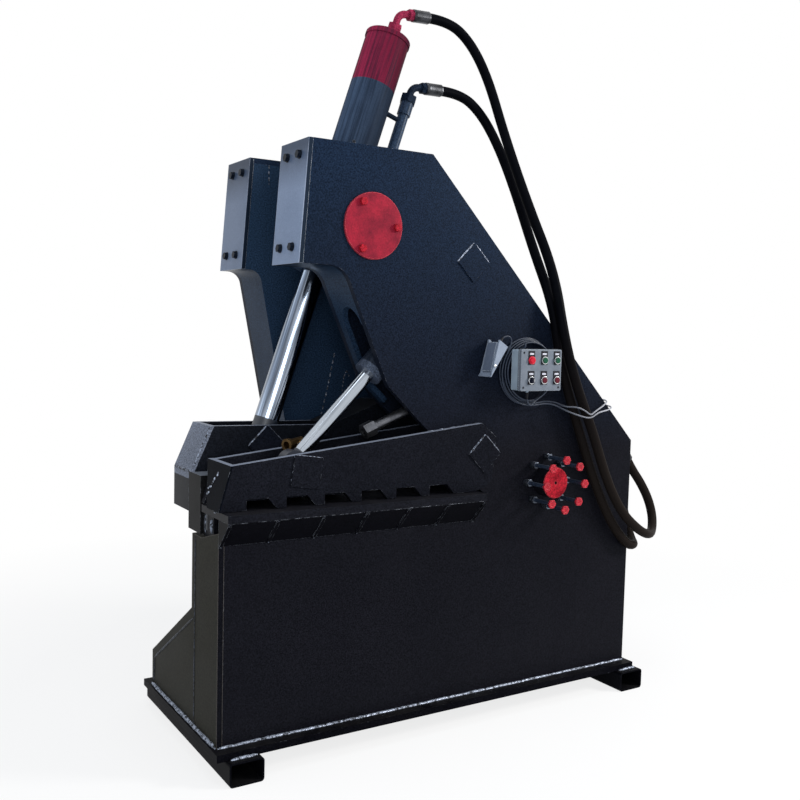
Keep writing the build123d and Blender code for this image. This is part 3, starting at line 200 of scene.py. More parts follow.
class Graph:
    """Adds nodes to one shader tree and wires them together."""

    def __init__(self, tree: bpy.types.NodeTree) -> None:
        """Keeps the tree that the nodes go into."""
        self.tree = tree

    @classmethod
    def of(cls, owner: bpy.types.Material | bpy.types.World) -> Graph:
        """Empties the nodes of a material or a world.

        Args:
            owner: The material or world.

        Returns:
            The graph of its nodes.
        """
        owner.use_nodes = True
        owner.node_tree.nodes.clear()
        return cls(owner.node_tree)

    def add(self, kind: str, inputs: dict | None = None, **settings: Value) -> bpy.types.Node:
        """Adds one node.

        Args:
            kind: The node's type name.
            inputs: Socket names or numbers with a value or a socket for each.
            settings: Properties of the node itself.

        Returns:
            The new node.
        """
        node = self.tree.nodes.new(kind)
        for name, value in settings.items():
            setattr(node, name, value)
        self.feed(node, inputs or {})
        return node

    def feed(self, node: bpy.types.Node, inputs: dict) -> None:
        """Links a node's inputs to other sockets, or sets their values.

        Args:
            node: The node to feed.
            inputs: Socket names or numbers with a value or a socket for each.
        """
        for name, value in inputs.items():
            if isinstance(value, bpy.types.NodeSocket):
                self.tree.links.new(value, node.inputs[name])
            else:
                node.inputs[name].default_value = value

    def coords(self) -> bpy.types.NodeSocket:
        """Gives the piece's own coordinates."""
        return self.add("ShaderNodeTexCoord").outputs["Object"]

    def part_of(self, vector: Value, axis: str) -> bpy.types.NodeSocket:
        """Gives one coordinate of a vector."""
        return self.add("ShaderNodeSeparateXYZ", {0: vector}).outputs[axis]

    def calc(self, operation: str, first: Value, second: Value = 0.0) -> bpy.types.NodeSocket:
        """Does one step of arithmetic with two numbers or sockets."""
        return self.add("ShaderNodeMath", {0: first, 1: second}, operation=operation).outputs[0]

    def vector(self, operation: str, first: Value, second: Value) -> bpy.types.Node:
        """Does one step of vector arithmetic, in a node whose outputs are Vector and Value."""
        return self.add("ShaderNodeVectorMath", {0: first, 1: second}, operation=operation)

    def scaled(self, vector: Value, factor: Value) -> bpy.types.NodeSocket:
        """Gives a vector times a number."""
        inputs = {0: vector, "Scale": factor}
        return self.add("ShaderNodeVectorMath", inputs, operation="SCALE").outputs["Vector"]

    def spread(
        self, value: Value, low: float, high: float, start: float = 0.0, end: float = 1.0
    ) -> bpy.types.NodeSocket:
        """Maps the range from low to high onto the one from start to end, clamped."""
        inputs = {"Value": value, "From Min": low, "From Max": high, "To Min": start, "To Max": end}
        return self.add("ShaderNodeMapRange", inputs, clamp=True).outputs["Result"]

    def noise(
        self, vector: Value, scale: Value, detail: float = 3.0, roughness: float = 0.55
    ) -> bpy.types.NodeSocket:
        """Adds a noise texture, whose scale is grains to the metre."""
        inputs = {"Vector": vector, "Scale": scale, "Detail": detail, "Roughness": roughness}
        return self.add("ShaderNodeTexNoise", inputs).outputs["Fac"]

    def mix(self, factor: Value, first: Value, second: Value, mode: str = "MIX") -> bpy.types.NodeSocket:
        """Lays a share of a second colour over a first one."""
        inputs = {MIX_FACTOR: factor, MIX_FIRST: first, MIX_SECOND: second}
        return self.add("ShaderNodeMix", inputs, data_type="RGBA", blend_type=mode).outputs[MIX_RESULT]

    def use(self, group: bpy.types.NodeTree, **values: Value) -> bpy.types.Node:
        """Places a node group with its inputs set."""
        return self.add("ShaderNodeGroup", values, node_tree=group)


class Effects:
    """The shader node groups that the finishes share, each built at its first use."""

    @staticmethod
    def begin(
        name: str, inputs: dict[str, Value], outputs: Sequence[str], kind: str = FLOAT_SOCKET
    ) -> tuple[Graph, dict[str, bpy.types.NodeSocket]]:
        """Starts a node group.

        Args:
            name: The group's name.
            inputs: Input names with their usual values.
            outputs: Output names.
            kind: Socket type of the outputs.

        Returns:
            The graph of its inside, and its input sockets by name.
        """
        tree = bpy.data.node_groups.new(name, "ShaderNodeTree")
        for label, usual in inputs.items():
            sort = VECTOR_SOCKET if isinstance(usual, tuple) else FLOAT_SOCKET
            socket = tree.interface.new_socket(name=label, in_out="INPUT", socket_type=sort)
            socket.default_value = usual
        for label in outputs:
            tree.interface.new_socket(name=label, in_out="OUTPUT", socket_type=kind)
        graph = Graph(tree)
        source = graph.add("NodeGroupInput")
        return graph, {socket.name: socket for socket in source.outputs if socket.name}

    @cached_property
    def paint_skin(self) -> bpy.types.NodeTree:
        """The orange peel, cloudy tone, specks and grain of sprayed paint."""
        graph, given = self.begin("paint_skin", {"Scale": 1.0}, ("Height", "Cloud", "Speck", "Grain"))
        coords = graph.coords()
        peel = graph.noise(coords, scale=210.0, detail=2.0)
        wave = graph.noise(coords, scale=16.0, detail=2.0)
        clouds = graph.calc("MULTIPLY", given["Scale"], 2.3)
        cloud = graph.noise(coords, scale=clouds, detail=6.0, roughness=0.62)
        speck = graph.noise(coords, scale=330.0, detail=1.0)
        fine = graph.calc("MULTIPLY", peel, 0.45)
        broad = graph.calc("MULTIPLY", wave, 1.2)
        graph.add("NodeGroupOutput", {
            "Height": graph.calc("ADD", fine, broad),
            "Cloud": graph.spread(cloud, low=0.34, high=0.68),
            "Speck": graph.spread(speck, low=0.70, high=0.78),
            "Grain": graph.spread(peel, low=0.32, high=0.68),
        })
        return graph.tree

    @cached_property
    def worn_and_lit_edges(self) -> bpy.types.NodeTree:
        """A mask of the edges, where the paint is rubbed bare and where a painted highlight runs along them.
        """
        graph, given = self.begin("worn_and_lit_edges", {"Width": 0.004, "Breakup": 45.0, "Amount": 0.5}, ("Mask",))
        rounded = graph.add("ShaderNodeBevel", {"Radius": given["Width"]}, samples=6).outputs["Normal"]
        normal = graph.add("ShaderNodeNewGeometry").outputs["Normal"]
        facing = graph.vector("DOT_PRODUCT", rounded, normal).outputs["Value"]
        edge = graph.spread(facing, low=0.985, high=0.88)
        torn = graph.noise(graph.coords(), scale=given["Breakup"], detail=5.0, roughness=0.68)
        kept = graph.spread(graph.calc("ADD", torn, given["Amount"]), low=0.86, high=1.02)
        graph.add("NodeGroupOutput", {"Mask": graph.calc("MULTIPLY", edge, kept)})
        return graph.tree

    @cached_property
    def settled_dust(self) -> bpy.types.NodeTree:
        """A mask of the dust that lies on upward faces and low on the sides."""
        graph, given = self.begin("settled_dust", {"Amount": 0.3}, ("Mask",))
        geometry = graph.add("ShaderNodeNewGeometry")
        up = graph.part_of(geometry.outputs["Normal"], "Z")
        height = graph.part_of(geometry.outputs["Position"], "Z")
        coords = graph.coords()
        drift = graph.spread(graph.noise(coords, scale=9.0, detail=6.0, roughness=0.65), low=0.32, high=0.72)
        grit = graph.spread(graph.noise(coords, scale=140.0, detail=3.0, roughness=0.6), low=0.40, high=0.66)
        lying = graph.calc("MULTIPLY", graph.spread(up, low=0.55, high=0.98), drift)
        splash = graph.calc("MULTIPLY", graph.spread(height, low=0.42, high=0.02), 0.30)
        splash = graph.calc("MULTIPLY", splash, graph.calc("MULTIPLY", drift, grit))
        total = graph.calc("MULTIPLY", graph.calc("MAXIMUM", lying, splash), given["Amount"])
        graph.add("NodeGroupOutput", {"Mask": graph.spread(total, low=0.0, high=1.0)})
        return graph.tree

    @cached_property
    def fine_grain(self) -> bpy.types.NodeTree:
        """The pebble of rubber, moulded plastic and hammered enamel."""
        graph, given = self.begin("fine_grain", {"Scale": 900.0}, ("Height", "Cloud"))
        coords = graph.coords()
        pebble = graph.noise(coords, scale=given["Scale"], detail=2.0)
        cells = graph.add("ShaderNodeTexVoronoi", {"Vector": coords, "Scale": given["Scale"]})
        dent = graph.calc("MULTIPLY", cells.outputs["Distance"], -0.6)
        clouds = graph.calc("MULTIPLY", given["Scale"], 0.02)
        cloud = graph.noise(coords, scale=clouds, detail=5.0, roughness=0.6)
        graph.add("NodeGroupOutput", {
            "Height": graph.calc("ADD", pebble, dent),
            "Cloud": graph.spread(cloud, low=0.34, high=0.68),
        })
        return graph.tree

    @cached_property
    def drawn_lines(self) -> bpy.types.NodeTree:
        """The lengthwise streaks and faint rings of a ground or drawn bar, also laid out as painted
        reflection stripes.
        """
        graph, given = self.begin("drawn_lines", {"Along": UP, "Scale": 350.0}, ("Streak", "Ring"))
        coords = graph.coords()
        reach = graph.vector("DOT_PRODUCT", coords, given["Along"]).outputs["Value"]
        run = graph.scaled(given["Along"], reach)
        across = graph.vector("SUBTRACT", coords, run).outputs["Vector"]
        stretched = graph.vector("ADD", across, graph.scaled(run, 0.03)).outputs["Vector"]
        level = graph.add("ShaderNodeCombineXYZ", {"X": reach}).outputs["Vector"]
        graph.add("NodeGroupOutput", {
            "Streak": graph.noise(stretched, scale=given["Scale"], detail=3.0, roughness=0.6),
            "Ring": graph.noise(level, scale=60.0, detail=3.0, roughness=0.6),
        })
        return graph.tree

    @cached_property
    def soft_edges(self) -> bpy.types.NodeTree:
        """The normal of edges that a grinder has broken."""
        graph, given = self.begin("soft_edges", {"Radius": 0.0015}, ("Normal",), VECTOR_SOCKET)
        bevel = graph.add("ShaderNodeBevel", {"Radius": given["Radius"]}, samples=4)
        graph.add("NodeGroupOutput", {"Normal": bevel.outputs["Normal"]})
        return graph.tree


@dataclass(frozen=True)
class Split:
    """A line between two colours, a paint line on two-tone parts and the edge of painted light and shade on
    others.

    Attributes:
        point: A point on the line's plane.
        toward: Direction of the second colour's side.
        reach: Distance from the point to the line.
        both_ways: Whether the second colour starts on both sides of the point.
        waver: How far the line strays.
        soft: Half the width over which the colours run together.
    """

    point: Triple
    toward: Triple
    reach: float = 0.0
    both_ways: bool = False
    waver: float = 0.0015
    soft: float = 0.0004

    def mask(self, graph: Graph, coords: bpy.types.NodeSocket) -> bpy.types.NodeSocket:
        """Adds the nodes that tell the two sides apart.

        Args:
            graph: The material's graph.
            coords: The piece's own coordinates.

        Returns:
            A socket that is 0 on the first colour's side and 1 on the second's.
        """
        offset = graph.vector("SUBTRACT", coords, self.point).outputs["Vector"]
        along = graph.vector("DOT_PRODUCT", offset, self.toward).outputs["Value"]
        if self.both_ways:
            along = graph.calc("ABSOLUTE", along)
        wave = graph.calc("SUBTRACT", graph.noise(coords, scale=30.0), 0.5)
        strayed = graph.calc("ADD", along, graph.calc("MULTIPLY", wave, self.waver))
        return graph.spread(strayed, low=self.reach - self.soft, high=self.reach + self.soft)


@dataclass(frozen=True)
class Finish:
    """What every finish has: a name, and a shader at the end of its nodes.

    Attributes:
        name: The material's name.
    """

    name: str

    def start(self) -> tuple[bpy.types.Material, Graph, bpy.types.Node]:
        """Makes an empty material with its shader.

        Returns:
            The material, the graph of its nodes and its Principled shader.
        """
        material = bpy.data.materials.new(self.name)
        graph = Graph.of(material)
        shader = graph.add("ShaderNodeBsdfPrincipled")
        graph.add("ShaderNodeOutputMaterial", {"Surface": shader.outputs["BSDF"]})
        return material, graph, shader

    @staticmethod
    def relief(
        graph: Graph, effects: Effects, height: Value, strength: float, depth: float, rounding: float
    ) -> bpy.types.NodeSocket:
        """Gives the normal of a fine relief on a piece with broken edges.

        Args:
            graph: The material's graph.
            effects: The shared node groups.
            height: Height of the relief.
            strength: Share of it that shows.
            depth: Its full depth.
            rounding: Radius of the broken edges.

        Returns:
            The normal's socket.
        """
        soft = graph.use(effects.soft_edges, Radius=rounding).outputs["Normal"]
        inputs = {"Strength": strength, "Distance": depth, "Height": height, "Normal": soft}
        return graph.add("ShaderNodeBump", inputs).outputs["Normal"]

    def build(self, effects: Effects) -> bpy.types.Material:
        """Makes the material; each finish has its own way."""
        raise NotImplementedError


@dataclass(frozen=True)
class Paint(Finish):
    """Paint sprayed or brushed on steel.

    Attributes:
        colour: Its colour.
        cloud_colour: The colour that it drifts to in clouds.
        roughness: Its gloss, from 0, wet, to 1, matt.
        shine: Strength of its mirror gloss, 0.5 for common varnish.
        ior: Refraction index of its skin, low for a sooty one.
        shine_tint: Colour of the gloss.
        peel: Depth of its orange peel.
        grain: How far its fine grain strays from the colour.
        blotch: Clouds in it, for each one that a large plate has over the same length.
        streaks: Strength of the dark lengthwise streaks on a painted tube, a painted reflection of dark
            surroundings.
        along: Direction of the streaks.
        wear_and_highlight: Share of its edges that is lightened, both rubbed bare and as a painted highlight.
        wear_and_highlight_width: How far that lightening reaches from an edge.
        wear_and_highlight_colour: Colour of the lightened edges.
        wear_metal: How metallic that is.
        dust: Share of the dust that it could hold.
        top_highlight_colour: Colour laid on upward faces as a painted highlight of the sky, if it is.
        top_from: Height above which they are.
        high_reflection_colour: The colour that it drifts to higher up, a painted reflection of the sky, if it
            does.
        high_from: Height where that drift starts.
        high_to: Height where it ends.
        split: The line where another colour starts.
        other: The colour past that line.
        shaded_side: The soft line past which one side is darkened as painted shade, if it is.
        side_shade: Strength of that painted shade.
    """

    colour: Colour
    cloud_colour: Colour
    roughness: float = 0.36
    shine: float = 0.16
    ior: float = 1.25
    shine_tint: Colour = (0.72, 0.86, 1.0, 1.0)
    peel: float = 0.05
    grain: float = 0.55
    blotch: float = 1.0
    streaks: float = 0.0
    along: Triple = UP
    wear_and_highlight: float = 0.25
    wear_and_highlight_width: float = 0.0025
    wear_and_highlight_colour: Colour = tone(132, 137, 146)
    wear_metal: float = 0.75
    dust: float = 0.12
    top_highlight_colour: Colour | None = None
    top_from: float = 0.98
    high_reflection_colour: Colour | None = None
    high_from: float = 0.85
    high_to: float = 2.0
    split: Split | None = None
    other: Colour = FULL_BLACK
    shaded_side: Split | None = None
    side_shade: float = 0.6

    def coat(self, graph: Graph, effects: Effects, skin: bpy.types.Node) -> bpy.types.NodeSocket:
        """Gives the colour of the paint with its painted reflection and painted shade, without dust, specks
        and lightened edges.

        Args:
            graph: The material's graph.
            effects: The shared node groups.
            skin: The paint's skin effect.

        Returns:
            The colour's socket.
        """
        cloud = skin.outputs["Cloud"]
        colour = graph.mix(cloud, self.colour, self.cloud_colour)
        # Painted reflection of the sky: the colour drifts with height towards the high colour.
        if self.high_reflection_colour:
            height = graph.part_of(graph.coords(), "Z")
            upper = graph.mix(cloud, self.high_reflection_colour, darker(self.high_reflection_colour, UPPER_CLOUD_SHARE))
            colour = graph.mix(graph.spread(height, self.high_from, self.high_to), colour, upper)
        if self.split:
            shade = graph.mix(cloud, self.other, darker(self.other, OTHER_CLOUD_SHARE))
            colour = graph.mix(self.split.mask(graph, graph.coords()), colour, shade)
        # Painted shade: one side of the piece is darkened.
        if self.shaded_side:
            black = graph.calc("MULTIPLY", self.shaded_side.mask(graph, graph.coords()), self.side_shade)
            colour = graph.mix(black, colour, SIDE_SHADE_DARK)
        # Painted reflection: dark lengthwise streaks on a glossy tube.
        if self.streaks:
            for scale in TUBE_REFLECTION_STREAKS:
                lines = graph.use(effects.drawn_lines, Along=self.along, Scale=scale).outputs["Streak"]
                dark = graph.spread(lines, low=0.48, high=0.64, end=self.streaks)
                colour = graph.mix(dark, colour, REFLECTED_DARK)
        grain = graph.spread(skin.outputs["Grain"], 0.0, 1.0, start=1.0 - self.grain, end=1.0 + self.grain)
        return graph.mix(1.0, colour, grain, "MULTIPLY")

    def build(self, effects: Effects) -> bpy.types.Material:
        """Makes the material.

        Args:
            effects: The shared node groups.

        Returns:
            The finished material.
        """
        material, graph, shader = self.start()
        skin = graph.use(effects.paint_skin, Scale=self.blotch)
        edges = graph.use(effects.worn_and_lit_edges, Width=self.wear_and_highlight_width, Breakup=55.0, Amount=self.wear_and_highlight)
        worn_and_lit = edges.outputs["Mask"]
        dusty = graph.use(effects.settled_dust, Amount=self.dust).outputs["Mask"]
        colour = self.coat(graph, effects, skin)
        specks = graph.calc("MULTIPLY", skin.outputs["Speck"], 0.25)
        colour = graph.mix(specks, colour, LIGHT_SPECK)
        colour = graph.mix(dusty, colour, ROAD_DUST)
        # Painted highlight: upward faces high on the piece are lightened.
        if self.top_highlight_colour:
            up = graph.part_of(graph.add("ShaderNodeTexCoord").outputs["Normal"], "Z")
            height = graph.part_of(graph.coords(), "Z")
            high = graph.spread(height, low=self.top_from, high=self.top_from + 0.002)
            top_highlight = graph.calc("MULTIPLY", graph.spread(up, low=0.97, high=0.985), high)
            colour = graph.mix(top_highlight, colour, self.top_highlight_colour)
        # Lightened edges: partly bare metal, partly a painted highlight.
        colour = graph.mix(worn_and_lit, colour, self.wear_and_highlight_colour)
        rough = graph.spread(
            skin.outputs["Cloud"], 0.0, 1.0, start=self.roughness - 0.05, end=self.roughness + 0.07
        )
        rough = graph.calc("ADD", rough, graph.calc("MULTIPLY", dusty, 0.35))
        peel = self.relief(
            graph, effects, skin.outputs["Height"], strength=self.peel, depth=0.002, rounding=0.0016
        )
        graph.feed(shader, {
            "Base Color": colour,
            "Roughness": rough,
            "Metallic": graph.calc("MULTIPLY", worn_and_lit, self.wear_metal),
            "Normal": peel,
            "Specular IOR Level": self.shine,
            "IOR": self.ior,
            "Specular Tint": self.shine_tint,
        })
        return material


@dataclass(frozen=True)
class BareMetal(Finish):
    """Chrome, zinc, bronze or plain steel.

    Attributes:
        colour: Its colour.
        dull_colour: The colour of its stains and streaks.
        roughness: How matt it is.
        along: Direction of its grinding streaks.
        streaks: Strength of the streaks.
        stain: Share of it that is stained.
        reflection_bands: Strength of the broad dark lengthwise stripes on a polished bar, a painted
            reflection of dark surroundings.
        reflection_colour: Their colour.
        split: The line where painted metal starts.
        other: The colour past that line.
    """

    colour: Colour
    dull_colour: Colour
    roughness: float = 0.28
    along: Triple = FAR
    streaks: float = 0.12
    stain: float = 0.4
    reflection_bands: float = 0.0
    reflection_colour: Colour = tone(46, 56, 72)
    split: Split | None = None
    other: Colour = FULL_BLACK

    def build(self, effects: Effects) -> bpy.types.Material:
        """Makes the material.

        Args:
            effects: The shared node groups.

        Returns:
            The finished material.
        """
        material, graph, shader = self.start()
        coords = graph.coords()
        lines = graph.use(effects.drawn_lines, Along=self.along, Scale=420.0)
        streak = lines.outputs["Streak"]
        stained = 0.4 * self.stain
        blot = graph.noise(coords, scale=26.0, detail=6.0, roughness=0.66)
        blot = graph.spread(blot, low=0.72 - stained, high=0.95 - stained)
        ring = graph.spread(lines.outputs["Ring"], low=0.55, high=0.75)
        dull = graph.calc("MULTIPLY", ring, 0.5 * self.stain)
        dull = graph.calc("MAXIMUM", dull, graph.calc("MULTIPLY", blot, self.stain))
        colour = graph.mix(dull, self.colour, self.dull_colour)
        # Painted reflection: broad dark stripes along a polished bar.
        if self.reflection_bands:
            for scale, low, high, share in REFLECTION_BANDS:
                band = graph.use(effects.drawn_lines, Along=self.along, Scale=scale).outputs["Streak"]
                dark = graph.spread(band, low, high, end=share * self.reflection_bands)
                colour = graph.mix(dark, colour, self.reflection_colour)
        rough = graph.spread(streak, 0.25, 0.75, start=self.roughness * 0.7, end=self.roughness * 1.4)
        rough = graph.calc("ADD", rough, graph.calc("MULTIPLY", dull, 0.18))
        metallic = graph.spread(dull, 0.0, 1.0, start=1.0, end=0.85)
        if self.split:
            side = self.split.mask(graph, coords)
            colour = graph.mix(side, colour, self.other)
            rough = graph.calc("MAXIMUM", rough, graph.calc("MULTIPLY", side, 0.42))
            metallic = graph.calc("MULTIPLY", metallic, graph.calc("SUBTRACT", 1.0, side))
        graph.feed(shader, {
            "Base Color": colour,
            "Roughness": rough,
            "Metallic": metallic,
            "Normal": self.relief(
                graph, effects, streak, strength=self.streaks, depth=0.0006, rounding=0.0008
            ),
        })
        return material


@dataclass(frozen=True)
class Moulded(Finish):
    """Rubber, moulded plastic or hammered enamel.

    Attributes:
        colour: Its colour.
        cloud_colour: The colour that it drifts to in clouds.
        roughness: How matt it is.
        shine: Strength of its mirror gloss.
        grain: Pebbles to the metre.
        depth: Depth of the pebble.
        ior: Refraction index of its skin, low for sooty rubber.
        dust: Share of the dust that it could hold.
        edge: Share of its edges that is lightened, partly scuffing and partly a painted highlight along
            rounded rims.
        edge_width: How far that lightening reaches from an edge.
        edge_light_colour: Colour of the lightened edges.
        split: The line where another colour starts.
        other: The colour past that line.
    """

    colour: Colour
    cloud_colour: Colour
    roughness: float = 0.45
    shine: float = 0.4
    grain: float = 900.0
    depth: float = 0.08
    ior: float = 1.5
    dust: float = 0.15
    edge: float = 0.0
    edge_width: float = 0.0025
    edge_light_colour: Colour = tone(196, 202, 208)
    split: Split | None = None
    other: Colour = FULL_BLACK

    def build(self, effects: Effects) -> bpy.types.Material:
        """Makes the material.

        Args:
            effects: The shared node groups.

        Returns:
            The finished material.
        """
        material, graph, shader = self.start()
        grain = graph.use(effects.fine_grain, Scale=self.grain)
        cloud = grain.outputs["Cloud"]
        dusty = graph.use(effects.settled_dust, Amount=self.dust).outputs["Mask"]
        colour = graph.mix(cloud, self.colour, self.cloud_colour)
        if self.split:
            colour = graph.mix(self.split.mask(graph, graph.coords()), colour, self.other)
        colour = graph.mix(dusty, colour, PALE_DUST)
        # Lightened edges: scuffing and a painted highlight along the rims.
        if self.edge:
            light_edges = graph.use(effects.worn_and_lit_edges, Width=self.edge_width, Breakup=70.0, Amount=self.edge)
            colour = graph.mix(light_edges.outputs["Mask"], colour, self.edge_light_colour)
        graph.feed(shader, {
            "Base Color": colour,
            "Roughness": graph.spread(
                cloud, 0.0, 1.0, start=self.roughness - 0.06, end=self.roughness + 0.06
            ),
            "Normal": self.relief(
                graph, effects, grain.outputs["Height"], strength=self.depth, depth=0.0008, rounding=0.0008
            ),
            "Specular IOR Level": self.shine,
            "IOR": self.ior,
        })
        return material


@dataclass(frozen=True)
class WeldMetal(Finish):
    """Rippled weld in random bright and dark patches, partly bare metal and partly a painted highlight and
    painted shade on the bead.

    Attributes:
        colour: Colour of the bright patches.
        dark_colour: Colour of the dark patches.
        crests: Share of it that is bright.
        roughness: How matt it is.
    """

    colour: Colour
    dark_colour: Colour
    crests: float = 0.5
    roughness: float = 0.36

    def build(self, effects: Effects) -> bpy.types.Material:
        """Makes the material.

        Args:
            effects: The shared node groups.

        Returns:
            The finished material.
        """
        material, graph, shader = self.start()
        grain = graph.use(effects.fine_grain, Scale=420.0)
        patch = graph.noise(graph.coords(), scale=95.0, detail=4.0, roughness=0.7)
        middle = 0.62 - 0.24 * self.crests
        bright = graph.spread(patch, low=middle - 0.07, high=middle + 0.07)
        graph.feed(shader, {
            "Base Color": graph.mix(bright, self.dark_colour, self.colour),
            "Roughness": graph.spread(bright, 0.0, 1.0, start=self.roughness + 0.2, end=self.roughness),
            "Metallic": graph.spread(bright, 0.0, 1.0, start=0.1, end=0.55),
            "Normal": self.relief(
                graph, effects, grain.outputs["Height"], strength=0.35, depth=0.0012, rounding=0.0012
            ),
            "Specular IOR Level": 0.3,
        })
        return material


CYLINDER_LEAN = math.atan2(255.0, 767.0)
CYLINDER_UP = (math.sin(CYLINDER_LEAN), 0.0, math.cos(CYLINDER_LEAN))
CYLINDER_DOWN = (-CYLINDER_UP[0], 0.0, -CYLINDER_UP[2])
CYLINDER_REAR = (0.84 * math.cos(CYLINDER_LEAN), -0.54, -0.84 * math.sin(CYLINDER_LEAN))
TRUNNION = spot(540.0, 344.0, 1813.0)
PRESSER_RUN = Vector((676.0, 0.0, 706.0)).normalized()
PRESSER_UP = tuple(PRESSER_RUN)
PRESSER_DOWN = tuple(-PRESSER_RUN)
PRESSER_PIN = spot(290.0, 80.0, 1008.0)
PRESSER_BASE_PIN = spot(966.0, 80.0, 1714.0)
RED_HEAD_START = 0.583
RED_ELBOW_START = 0.745
JAW_FRONT_OUT = (-0.913, 0.0, 0.408)
COVER_BACK = (0.9973, 0.0, -0.0737)
PRESSER_FRONT_OUT = (-0.9605, 0.0, 0.2782)
TO_RED_BUTTON = (-0.770, 0.0, 0.637)

BLACK = tone(16, 16, 21)
BLACK_CLOUD = tone(19, 19, 24)
# Blue-black of the upper plates: a painted reflection of the sky.
SKY_SHEEN_BLUE_BLACK = tone(22, 34, 52)
RED = tone(160, 25, 39)
# Lighter red along the rims of red parts: partly rubbed paint, partly a painted highlight.
PALE_RED = tone(226, 104, 106)
WINE_RED = tone(148, 42, 72)
# Light blue-grey of upward faces: a painted highlight.
TOP_HIGHLIGHT = tone(116, 122, 136)
COLUMN_OLIVE = tone(26, 25, 19)


